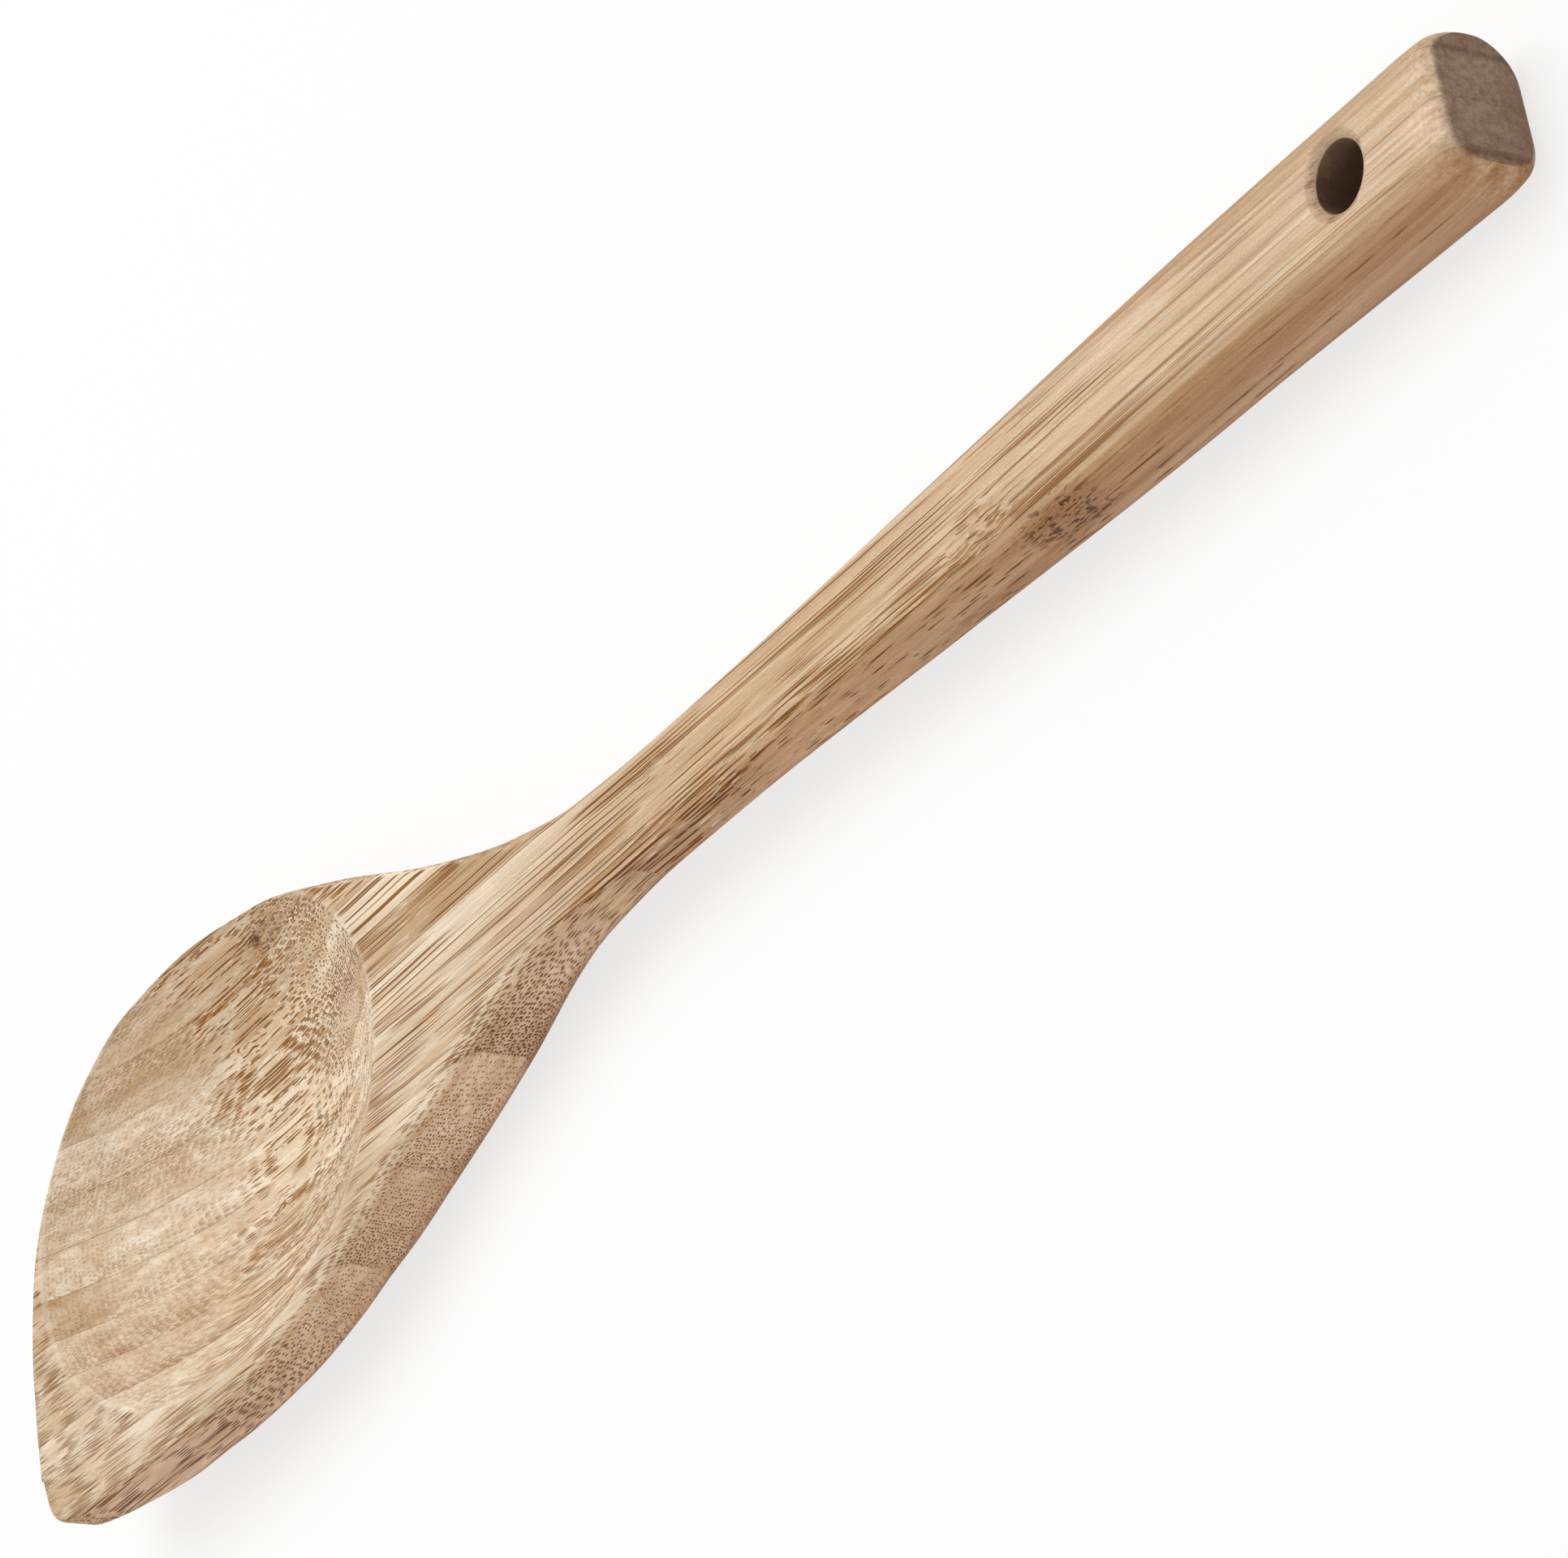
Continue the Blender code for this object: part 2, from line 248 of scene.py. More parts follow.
def section(x):
    """The spoon's outline across its length at x, as (y, z) points, far side first."""
    inset = BUTT_ROUND * quarter_drop(x, BUTT_ROUND)
    far, far_slope = edge_at(FAR_PATH, x)
    near, near_slope = edge_at(NEAR_PATH, x)
    far -= BUTT_CORNER_FAR * quarter_drop(x, BUTT_CORNER)
    near += BUTT_CORNER_NEAR * quarter_drop(x, BUTT_CORNER)
    top, bottom = top_height(x) - inset, along(UNDERSIDE, x) + inset
    most_across, most_high = MOST_ROUND * (far - near), MOST_ROUND * (top - bottom)
    across, high = along(TOP_ROUND, x, 1), min(along(TOP_ROUND, x, 2), most_high)
    far_top = min(across * np.hypot(1, far_slope), most_across)
    near_extra = along(NEAR_EXTRA, x)
    near_top = min((across + near_extra) * np.hypot(1, near_slope), most_across)
    near_high = min(high + NEAR_EXTRA_HIGH * near_extra, most_high)
    low, low_high = min(along(BOTTOM_ROUND, x, 1), most_across), min(along(BOTTOM_ROUND, x, 2), most_high)
    extra = along(FAR_EXTRA, x)
    far_high = min(high + extra, most_high)
    far_low, far_low_high = min(low + extra, most_across), min(low_high + extra, most_high)
    corners = [
        corner((far - far_top, top - far_high), (far_top, far_high), 0),
        corner((near + near_top, top - near_high), (near_top, near_high), 1),
        corner((near + low, bottom + low_high), (low, low_high), 2),
        corner((far - far_low, bottom + far_low_high), (far_low, far_low_high), 3),
    ]
    over = flat(corners[0][-1], corners[1][0], TOP_STEPS)
    under = flat(corners[2][-1], corners[3][0], UNDER_STEPS)
    return corners[0] + over + corners[1] + corners[2] + under + corners[3]


print("points in a section", len(section(0.0)))

# %% [markdown]
# ## The milled form
# The blank that leaves the milling machine is one smooth body. Bridging hundreds of section loops, pair by
# pair, would build it, but one grid has all the faces from the start: its rows are laid onto the sections,
# its first and last columns are sewn together and both ends are capped. The sections stand closest together
# at the tip and where the hollow will be carved.

# %% Milled form
TIP_ZONE = 12.0
TIP_SHARES = (0.02, 0.97)
TIP_STATIONS = 50
BOWL_END = -60.0
BOWL_STATIONS = 200
NECK_END = 0.0
NECK_STATIONS = 70
HANDLE_STATIONS = 75
BUTT_STATIONS = 14
SEAM = 0.000001


def stations():
    """Places along the spoon where the form has a section, closest together round the hollow and the tip."""
    tip, butt = -LENGTH / 2, LENGTH / 2
    shares = np.linspace(*TIP_SHARES, TIP_STATIONS)
    corner_start = butt - BUTT_CORNER
    turns = np.linspace(0, np.pi / 2, BUTT_STATIONS + 1)
    return np.concatenate([
        tip + TIP_ZONE * shares**2,
        np.linspace(tip + TIP_ZONE, BOWL_END, BOWL_STATIONS)[:-1],
        np.linspace(BOWL_END, NECK_END, NECK_STATIONS)[:-1],
        np.linspace(NECK_END, corner_start, HANDLE_STATIONS)[:-1],
        corner_start + BUTT_CORNER * np.sin(turns),
    ])


def milled_form():
    """A grid rolled up round the sections, sewn along its seam and capped at the tip and the butt."""
    places = stations()
    points = np.array([[(x, y, z) for y, z in section(x)] for x in places])
    points = np.concatenate([points, points[:, :1]], axis=1)
    shape = bmesh.new()
    bmesh.ops.create_grid(shape, x_segments=points.shape[1] - 1, y_segments=points.shape[0] - 1, size=1)
    for point, place in zip(shape.verts, points.reshape(-1, 3)):
        point.co = place
    bmesh.ops.remove_doubles(shape, verts=shape.verts, dist=SEAM)
    bmesh.ops.holes_fill(shape, edges=[e for e in shape.edges if e.is_boundary])
    bmesh.ops.recalc_face_normals(shape, faces=shape.faces)
    return shape


spoon = milled_form()
print("milled form faces", len(spoon.faces))

# %% [markdown]
# ## The hollow
# A ball-nosed cutter sinks an oval dish that is deepest near the middle of the bowl. A Boolean with a dish
# would leave a knife edge along the rim, and beveling that long curved edge afterwards is fragile. The form
# is fine enough to be carved directly: every point above the dish drops onto it, through a soft minimum
# that also breaks the rim as sandpaper does.

# %% Hollow
HOLLOW_CENTRE = (-101.8, 2.6)
HOLLOW_HALF_LENGTH = 38.7
HOLLOW_HALF_WIDTH = 28.1
HOLLOW_TURN = math.radians(5.0)
HOLLOW_FLOOR = 3.2
RIM_SOFTNESS = 0.36


def dish_height(x, y):
    """Height of the dish under a place, which grows with the square of the distance from its centre."""
    dx, dy = x - HOLLOW_CENTRE[0], y - HOLLOW_CENTRE[1]
    lengthwise = (dx * math.cos(HOLLOW_TURN) + dy * math.sin(HOLLOW_TURN)) / HOLLOW_HALF_LENGTH
    crosswise = (dy * math.cos(HOLLOW_TURN) - dx * math.sin(HOLLOW_TURN)) / HOLLOW_HALF_WIDTH
    return HOLLOW_FLOOR + (HANDLE_TOP - HOLLOW_FLOOR) * (lengthwise**2 + crosswise**2)


def soft_minimum(first, second, softness):
    """The smaller of two heights, rounded off where they nearly agree."""
    near = max(softness - abs(first - second), 0.0) / softness
    return min(first, second) - near**2 * softness / 4


for corner_point in spoon.verts:
    x, y, z = corner_point.co
    corner_point.co.z = soft_minimum(z, dish_height(x, y), RIM_SOFTNESS)
print("carved to", round(min(v.co.z for v in spoon.verts if v.normal.z > 0.99), 2), "mm above the table")

# %% [markdown]
# ## The hanging hole
# The hole is drilled through the joint along the middle of the handle and its rim is rounded by hand.
# Spinning a profile about the drill's axis gives the drill and its rounded shoulder in one piece, and a
# Boolean takes it away from the two middle strips after they are cut from the form.

# %% Drill for the hanging hole
HOLE_X = 133.0
HOLE_Y = 0.75
HOLE_RADIUS = 3.92
HOLE_STEPS = 96
RIM_ROUND = 1.9
RIM_TURNS = np.radians((35.0, 72.0))
RIM_STEPS = 6
RIM_WIDTH = RIM_ROUND * (math.cos(RIM_TURNS[0]) - math.cos(RIM_TURNS[1]))
PAST = 3.0
DRILL_SEAM = 0.0001


def drill_profile():
    """Radius and height down one side of the drill, with the hollow shoulders that round the rims."""
    top, bottom = HANDLE_TOP, float(along(UNDERSIDE, HOLE_X))
    turns = np.linspace(*RIM_TURNS, RIM_STEPS)
    inner = HOLE_RADIUS + RIM_ROUND * math.cos(turns[0])
    arc = [(inner - RIM_ROUND * math.cos(a), RIM_ROUND * (1 - math.sin(a))) for a in turns]
    run = (arc[-1][0] + PAST, arc[-1][1] - PAST / math.tan(turns[-1]))
    upper = [(radius, top - depth) for radius, depth in arc + [run]]
    lower = [(radius, bottom + depth) for radius, depth in arc + [run]]
    return [(0.0, lower[-1][1])] + lower[::-1] + upper + [(0.0, upper[-1][1])]


def keep(shape, name):
    """Turns a bmesh in millimetres into an object in metres, with its place in its mesh."""
    bmesh.ops.scale(shape, vec=Vector((MM, MM, MM)), verts=shape.verts)
    mesh = bpy.data.meshes.new(name)
    shape.to_mesh(mesh)
    shape.free()
    made = bpy.data.objects.new(name, mesh)
    bpy.context.scene.collection.objects.link(made)
    return made


def make_drill():
    """The profile, spun about the middle of the hole."""
    shape = bmesh.new()
    line = [shape.verts.new((HOLE_X + radius, HOLE_Y, z)) for radius, z in drill_profile()]
    edges = [shape.edges.new(pair) for pair in zip(line, line[1:])]
    bmesh.ops.spin(
        shape, geom=line + edges, axis=(0, 0, 1), cent=(HOLE_X, HOLE_Y, 0), angle=2 * math.pi,
        steps=HOLE_STEPS, use_merge=True,
    )
    bmesh.ops.remove_doubles(shape, verts=shape.verts, dist=DRILL_SEAM)
    bmesh.ops.recalc_face_normals(shape, faces=shape.faces)
    return keep(shape, "drill")


drill = make_drill()
print("drill faces", len(drill.data.polygons))

# %% [markdown]
# ## Cutting the form into its strips
# Each strip is what lies between two glue joints. Copying the form and cutting it with bisect_plane at both
# joints gives a strip, and filling the open loops closes it. A hairline stays open at every joint for the
# film of glue. Beside the neck only the two middle strips are left, so the outer strips fall into a bowl
# part and a handle part there.

# %% Strips
GLUE = 0.012
ON_CUT = 0.00001
OUTERMOST = 4
SHARP_ANGLE = math.radians(24)
# Name, number of the joint on the near face, and which part along the spoon: 0 all, -1 bowl, 1 handle
STRIPS = (
    ("far_rim_strip", 4, -1),
    ("far_outer_strip", 3, -1),
    ("far_bowl_strip", 2, -1),
    ("far_shoulder_strip", 1, -1),
    ("far_handle_edge", 1, 1),
    ("far_core_strip", 0, 0),
    ("near_core_strip", -1, 0),
    ("near_handle_edge", -2, 1),
    ("near_shoulder_strip", -2, -1),
    ("near_bowl_strip", -3, -1),
    ("near_outer_strip", -4, -1),
    ("near_rim_strip", -5, -1),
)
DRILLED = ("far_core_strip", "near_core_strip")


def cut(shape, y, side):
    """Cuts away what lies beyond y on one side and closes the cut."""
    everything = shape.verts[:] + shape.edges[:] + shape.faces[:]
    made = bmesh.ops.bisect_plane(
        shape, geom=everything, dist=ON_CUT, plane_co=(0, y, 0), plane_no=(0, side, 0), clear_outer=True
    )
    loops = [e for e in made["geom_cut"] if isinstance(e, bmesh.types.BMEdge)]
    bmesh.ops.holes_fill(shape, edges=loops)


def cut_strip(name, joint, part):
    """One strip of the spoon as an object of its own."""
    shape = spoon.copy()
    if joint < OUTERMOST:
        cut(shape, (joint + 1) * STRIP - GLUE / 2, 1)
    if joint > -OUTERMOST - 1:
        cut(shape, joint * STRIP + GLUE / 2, -1)
    unwanted = [v for v in shape.verts if v.co.x * part < 0]
    bmesh.ops.delete(shape, geom=unwanted, context="VERTS")
    bmesh.ops.recalc_face_normals(shape, faces=shape.faces)
    return keep(shape, name)


def drill_through(piece):
    """Takes the drill away from a piece and keeps the result as its mesh."""
    bore = piece.modifiers.new("bore", "BOOLEAN")
    bore.operation = "DIFFERENCE"
    bore.object = drill
    bore.solver = "EXACT"
    drilled = piece.evaluated_get(bpy.context.evaluated_depsgraph_get())
    mesh = bpy.data.meshes.new_from_object(drilled)
    piece.modifiers.clear()
    piece.data = mesh
    mesh.name = piece.name


pieces = {}
for name, joint, part in STRIPS:
    pieces[name] = cut_strip(name, joint, part)
for name in DRILLED:
    drill_through(pieces[name])
bpy.data.objects.remove(drill, do_unlink=True)
spoon.free()
for name, piece in pieces.items():
    piece.data.shade_smooth()
    piece.data.set_sharp_from_angle(angle=SHARP_ANGLE)
    print(name, "faces", len(piece.data.polygons))

# %% [markdown]
# ## Floor and light
# The spoon lies on white paper under one large soft lamp, high up and behind its far side, so that its top
# is bright and its near side and butt fall into shade. Pale surroundings fill the shade. The levels are set
# so that a colour on the top renders about as it is written. More light would whiten the paper too, but it
# would bleach the wood, so the paper glows a little, but only where it is seen, straight or as a reflection,
# and it still keeps the spoon's shadow.

# %% Floor and light
FLOOR_SIZE = 4000.0
PAPER_WHITE = (0.93, 0.93, 0.93, 1)
PAPER_ROUGHNESS = 0.9
PAPER_GLOW = 0.75
GLOW_SEEN_BY = ("Is Camera Ray", "Is Glossy Ray", "Is Transmission Ray")
SURROUNDINGS = 0.52
LAMP_PLACE = Vector((-0.35, 0.6, 1.6))
LAMP_SIZE = 1.5
LAMP_POWER = 20.5


def add_floor():
    """A wide sheet of white paper under the spoon."""
    shape = bmesh.new()
    bmesh.ops.create_grid(shape, x_segments=1, y_segments=1, size=FLOOR_SIZE)
    floor = keep(shape, "floor")
    paper = bpy.data.materials.new("white_paper")
    paper.use_nodes = True
    nodes, links = paper.node_tree.nodes, paper.node_tree.links
    shader = nodes["Principled BSDF"]
    shader.inputs["Base Color"].default_value = PAPER_WHITE
    shader.inputs["Roughness"].default_value = PAPER_ROUGHNESS
    glow = nodes.new("ShaderNodeEmission")
    ray = nodes.new("ShaderNodeLightPath")
    seen = ray.outputs[GLOW_SEEN_BY[0]]
    for kind in GLOW_SEEN_BY[1:]:
        either = nodes.new("ShaderNodeMath")
        either.operation = "MAXIMUM"
        links.new(seen, either.inputs[0])
        links.new(ray.outputs[kind], either.inputs[1])
        seen = either.outputs[0]
    share = nodes.new("ShaderNodeMath")
    share.operation = "MULTIPLY"
    share.inputs[1].default_value = PAPER_GLOW
    both = nodes.new("ShaderNodeMixShader")
    links.new(seen, share.inputs[0])
    links.new(share.outputs[0], both.inputs[0])
    links.new(shader.outputs[0], both.inputs[1])
    links.new(glow.outputs[0], both.inputs[2])
    links.new(both.outputs[0], nodes["Material Output"].inputs["Surface"])
    floor.data.materials.append(paper)
    return floor


def add_surroundings():
    """An even white room that fills the shade."""
    world = bpy.data.worlds.new("studio")
    world.use_nodes = True
    light = world.node_tree.nodes["Background"]
    light.inputs["Color"].default_value = (1, 1, 1, 1)
    light.inputs["Strength"].default_value = SURROUNDINGS
    bpy.context.scene.world = world


def add_softbox():
    """One large soft lamp."""
    light = bpy.data.lights.new("softbox", "AREA")
    light.size = LAMP_SIZE
    light.energy = LAMP_POWER
    lamp = bpy.data.objects.new("softbox", light)
    bpy.context.scene.collection.objects.link(lamp)
    lamp.location = LAMP_PLACE
    lamp.rotation_mode = "QUATERNION"
    lamp.rotation_quaternion = LAMP_PLACE.to_track_quat("Z", "Y")


add_floor()
add_surroundings()
add_softbox()
bpy.context.scene.view_settings.view_transform = "Standard"
print("lamp", LAMP_POWER, "W, surroundings", SURROUNDINGS)

# %% [markdown]
# ## Tools for the bamboo finish
# A finish is a chain of small nodes. Placing them by hand in the editor would work for one strip, but
# twelve strips share one recipe with other numbers, so a few helpers build the chain: each adds one node,
# joins what it is given, a socket or a plain number, and hands on its output.

# %% Node helpers
def feed(tree, socket, value):
    """Joins a socket to another node's output, or sets its value."""
    if isinstance(value, bpy.types.NodeSocket):
        tree.links.new(value, socket)
    else:
        socket.default_value = value


def maths(tree, operation, *values):
    """One sum on numbers."""
    made = tree.nodes.new("ShaderNodeMath")
    made.operation = operation
    for socket, value in zip(made.inputs, values):
        feed(tree, socket, value)
    return made.outputs[0]


def vectors(tree, operation, first, second):
    """One sum on places or directions."""
    made = tree.nodes.new("ShaderNodeVectorMath")
    made.operation = operation
    feed(tree, made.inputs[0], first)
    feed(tree, made.inputs["Scale"] if operation == "SCALE" else made.inputs[1], second)
    return made.outputs["Value"] if operation in ("DISTANCE", "DOT_PRODUCT") else made.outputs["Vector"]


def apart(tree, vector):
    """The three parts of a place."""
    made = tree.nodes.new("ShaderNodeSeparateXYZ")
    feed(tree, made.inputs[0], vector)
    return made.outputs


def together(tree, x, y, z=0.0):
    """A place from its three parts."""
    made = tree.nodes.new("ShaderNodeCombineXYZ")
    for socket, value in zip(made.inputs, (x, y, z)):
        feed(tree, socket, value)
    return made.outputs[0]


def between(tree, value, low, high, start=0.0, end=1.0):
    """Eases from start to end while the value goes from low to high."""
    made = tree.nodes.new("ShaderNodeMapRange")
    made.interpolation_type = "SMOOTHSTEP"
    for socket, number in zip(made.inputs, (value, low, high, start, end)):
        feed(tree, socket, number)
    return made.outputs[0]


def mixed(tree, share, first, second, how="MIX"):
    """Mixes two colours."""
    made = tree.nodes.new("ShaderNodeMix")
    made.data_type = "RGBA"
    made.blend_type = how
    feed(tree, made.inputs[0], share)
    feed(tree, made.inputs[6], first)
    feed(tree, made.inputs[7], second)
    return made.outputs[2]


def ramped(tree, value, stops, easing="LINEAR"):
    """Reads a value off a row of stops, each with a place from 0 to 1 and a colour."""
    made = tree.nodes.new("ShaderNodeValToRGB")
    row = made.color_ramp
    row.interpolation = easing
    while len(row.elements) > len(stops):
        row.elements.remove(row.elements[-1])
    while len(row.elements) < len(stops):
        row.elements.new(1.0)
    for element, (place, colour) in zip(row.elements, stops):
        element.position = place
        element.color = colour
    feed(tree, made.inputs[0], value)
    return made.outputs["Color"]


# How far a seed shifts a noise along each axis
SEED_SPREAD = (1.0, 1.7, 2.3)


def clouds(tree, place, stretch, seed, detail):
    """Soft noise, stretched by so much per millimetre along each axis: its value and its three-way value."""
    made = tree.nodes.new("ShaderNodeTexNoise")
    shift = [seed * spread for spread in SEED_SPREAD]
    shifted = vectors(tree, "ADD", vectors(tree, "MULTIPLY", place, stretch), shift)
    feed(tree, made.inputs["Vector"], shifted)
    made.inputs["Scale"].default_value = 1.0
    made.inputs["Detail"].default_value = detail
    return made.outputs[0], made.outputs[1]


print("node helpers ready")

# %% [markdown]
# ## Bamboo
# Bamboo is pale pith with thousands of fibre bundles that run along the stalk. Each bundle is a brown
# sheath round a golden core. Where the surface runs along the fibres it cuts them into long lines, dark in
# part from painted shade in their grooves, where it slopes it cuts them into dashes, and where it cuts across
# it shows rings, or dark pores where the tubes inside are torn open, with painted shade inside them as well.
# Painting lines, dashes and rings separately would never meet up at an edge, so the finish is solid instead:
# cells across the strip, drawn out along X, that the surface cuts wherever it happens to be.

# %% Bamboo colours
CREAM = (0.93, 0.79, 0.61, 1)
TAN = (0.56, 0.37, 0.20, 1)
# A fibre line along the grain, darker than a cut core partly as painted shade in its groove
LINE = (0.175, 0.060, 0.009, 1)
FLANK = (0.41, 0.182, 0.042, 1)
RING = (0.24, 0.087, 0.018, 1)
CORE = (0.55, 0.31, 0.13, 1)
# Pale pith round a bundle, and on one side of it a painted highlight on the lit wall of its groove
HALO = (0.95, 0.835, 0.665, 1)
# A torn-open tube: dark from its open end and partly painted shade inside it; also the eye of a knot
PORE = (0.120, 0.048, 0.018, 1)
PORE_EDGE = (0.25, 0.112, 0.044, 1)
KNOT = (0.15, 0.072, 0.038, 1)
# The wall of the bore: scorched by the drill, and painted shade inside the hole
BURN_AND_SHADE = (0.16, 0.088, 0.055, 1)
# Distance from a bundle's middle as a share of twice its radius, then how much core, sheath and halo is there
BUNDLE = (
    (0.00, (1, 0, 0, 1)), (0.22, (1, 0, 0, 1)), (0.32, (0, 1, 0, 1)), (0.49, (0, 1, 0, 1)),
    (0.58, (0, 0, 1, 1)), (0.70, (0, 0, 1, 1)), (0.95, (0, 0, 0, 1)),
)
BUNDLE_REACH = 2.0
print("stops across a bundle", len(BUNDLE))

# %% [markdown]
# ## Where a point lies on its strip
# The marks depend on where a point is and which way it faces: the rough butt faces along X, the browner
# sides with their painted shade face outwards, and the dashes lie in the hollow. A painted mask for each of
# these would need its own UV map. Here they are worked out from the point's own coordinates and normal, with
# the same formula for the dish that carved it, so they stay with the shape. All ranges along the spoon are in
# millimetres.

# %% Point on a strip
# A range: where it starts and ends and, where it has four numbers, the values there
FACING_SIDE = (0.4, 0.95)
FACING_BUTT = (0.75, 0.96)
FACING_UP = (0.0, 0.2)
# Ranges of the height of the dish above the top, inside the rim and round it
INSIDE_RIM = (-0.2, -0.9)
ROUND_RIM = (0.6, 0.1)
DASHES_FROM = (-116.0, -102.0)
KNOT_EDGE = (1.0, 0.25)
KNOT_EFFECTS = ("swirl", "torn", "eye")
# A kind of noise: its stretch per millimetre along each axis, the shift of its seed and its detail
GOLD_PATCHES = ((0.08, 0.32, 0.32), 5.1, 2.0)
GOLD_LEVELS = (0.42, 0.60)


def noise(strip, kind, place=None):
    """One kind of noise at a point of the strip, or at another place, from 0 to 1."""
    stretch, shift, detail = kind
    where = strip.place if place is None else place
    return clouds(strip.tree, where, stretch, strip.seed + shift, detail)[0]


def product(tree, *factors):
    """Several numbers multiplied."""
    result = factors[0]
    for factor in factors[1:]:
        result = maths(tree, "MULTIPLY", result, factor)
    return result


def knot_effect(tree, place, knots, effect):
    """One effect of the knots on a point, from 0 outside them to its whole amount in the middle of one."""
    amount = 0.0
    for knot in knots:
        inside = vectors(tree, "DIVIDE", vectors(tree, "SUBTRACT", place, knot["centre"]), knot["reach"])
        away = vectors(tree, "DISTANCE", inside, (0.0, 0.0, 0.0))
        amount = maths(tree, "MAXIMUM", amount, between(tree, away, *KNOT_EDGE, 0.0, knot.get(effect, 0.0)))
    return amount


def rim_gap(tree, x, y):
    """How far the dish lies above the top at a place: below 0 inside the hollow, 0 along its rim."""
    turn, depth = HOLLOW_TURN, HANDLE_TOP - HOLLOW_FLOOR
    from_centre = vectors(tree, "SUBTRACT", together(tree, x, y), (*HOLLOW_CENTRE, 0.0))
    lengthwise = (math.cos(turn) / HOLLOW_HALF_LENGTH, math.sin(turn) / HOLLOW_HALF_LENGTH, 0.0)
    crosswise = (-math.sin(turn) / HOLLOW_HALF_WIDTH, math.cos(turn) / HOLLOW_HALF_WIDTH, 0.0)
    out = together(
        tree, vectors(tree, "DOT_PRODUCT", from_centre, lengthwise),
        vectors(tree, "DOT_PRODUCT", from_centre, crosswise),
    )
    lift = maths(tree, "MAXIMUM", maths(tree, "SUBTRACT", RISE_START, x), 0.0)
    lift = maths(tree, "DIVIDE", lift, RISE_START + LENGTH / 2)
    top = maths(tree, "MULTIPLY_ADD", product(tree, lift, lift), TIP_RISE, depth)
    return maths(tree, "SUBTRACT", product(tree, vectors(tree, "DOT_PRODUCT", out, out), depth), top)


def strip_point(tree, joint, look, seed):
    """What is known about a point of a strip: its place, the way it faces and how far inside a knot it is."""
    space = tree.nodes.new("ShaderNodeTexCoord")
    place = vectors(tree, "SCALE", space.outputs["Object"], 1 / MM)
    x, y, z = apart(tree, place)
    facing = apart(tree, space.outputs["Normal"])
    strip = SimpleNamespace(
        tree=tree, joint=joint, look=look, seed=seed, place=place, x=x, y=y, z=z, facing=facing,
    )
    strip.steep = maths(tree, "MULTIPLY", facing[1], -1.0 if joint < 0 else 1.0)
    strip.sideways = between(tree, strip.steep, *FACING_SIDE)
    strip.endways = between(tree, facing[0], *FACING_BUTT)
    upward = between(tree, facing[2], *FACING_UP)
    strip.gap = rim_gap(tree, x, y)
    strip.hollow = product(tree, between(tree, strip.gap, *INSIDE_RIM), upward)
    strip.dished = product(tree, between(tree, strip.gap, *ROUND_RIM), upward)
    strip.middle = product(tree, strip.hollow, between(tree, x, *DASHES_FROM))
    strip.golden = between(tree, noise(strip, GOLD_PATCHES), *GOLD_LEVELS)
    knots = look.get("knots", ())
    strip.swirl, strip.torn, strip.eye = (knot_effect(tree, place, knots, name) for name in KNOT_EFFECTS)
    return strip


def along_strip(strip, name):
    """One of the strip's own values, plain or read from its few places along the spoon."""
    value = strip.look[name]
    if isinstance(value, float):
        return value
    stops = [(x / LENGTH + 0.5, (level, level, level, 1)) for x, level in value]
    return ramped(strip.tree, maths(strip.tree, "MULTIPLY_ADD", strip.x, 1 / LENGTH, 0.5), stops, "EASE")


print("rough butt where the normal's x passes", FACING_BUTT[1])

# %% [markdown]
# ## Fibres
# In a real stalk the fibres are nearly straight, drift in and out of the cut surface over a hand's width,
# and swirl where a branch once grew. Ruled lines would look printed, so three noises bend the place of a
# point before it is looked up: a slow one, a fine one, and a strong one that acts only inside a knot.

# %% Fibre place
# A bend: stretch of its noise per millimetre, shift of its seed, and how far it pushes in millimetres
WANDER = ((0.012, 0.03, 0.03), 0.0, 2.6)
FINE_WANDER = ((0.075, 0.25, 0.25), 3.1, 0.25)
WHIRL = ((0.25, 0.32, 0.32), 5.7)
MIDDLE = (0.5, 0.5, 0.5)


def bend(strip, stretch, shift, amount):
    """A noise that pushes a point about by so many millimetres."""
    push = clouds(strip.tree, strip.place, stretch, strip.seed + shift, 1.0)[1]
    return vectors(strip.tree, "SCALE", vectors(strip.tree, "SUBTRACT", push, MIDDLE), amount)


def fibre_place(strip):
    """Where a point is across its strip and through its height, among fibres that are not quite straight."""
    tree = strip.tree
    moved = vectors(tree, "ADD", strip.place, bend(strip, *WANDER))
    moved = vectors(tree, "ADD", moved, bend(strip, *FINE_WANDER))
    if strip.look.get("knots"):
        moved = vectors(tree, "ADD", moved, bend(strip, *WHIRL, strip.swirl))
    across, height = apart(tree, moved)[1:3]
    return across, maths(tree, "MULTIPLY_ADD", strip.x, strip.look["runout"], height)


print("wander in mm", WANDER[2], "and", FINE_WANDER[2])

# %% [markdown]
# ## Fibre bundles
# Cut across, a strip shows its bundles as dots that crowd together towards the outside of the stalk.
# Thousands of thin tubes in the mesh would be far too heavy, so flat Voronoi cells across the strip hold one
# bundle each, and the same cells all along the spoon make fibres of them. A bundle's dark sheath is heavier
# on one side, as it is in bamboo, and its pale halo lies on the other, and together they are also painted
# shade and a painted highlight on the two walls of its groove.

# %% Bundles
CROWDING = 0.42
CELL_DISORDER = 0.6
SEED_COLUMNS = 11.0
HOLLOW_TO_SHOULDER = (-80.0, -62.0)
HOLLOW_BUNDLE = 0.36
# A factor and what is added to it
OWN_RADIUS = (0.4, 0.8)
OUTER_RADIUS = (0.35, 0.8)
# Direction of the sheath's heavy side, outwards and up, which is also the side of its painted shade
HEAVY_AND_SHADED_SIDE = (0.6, 0.8)
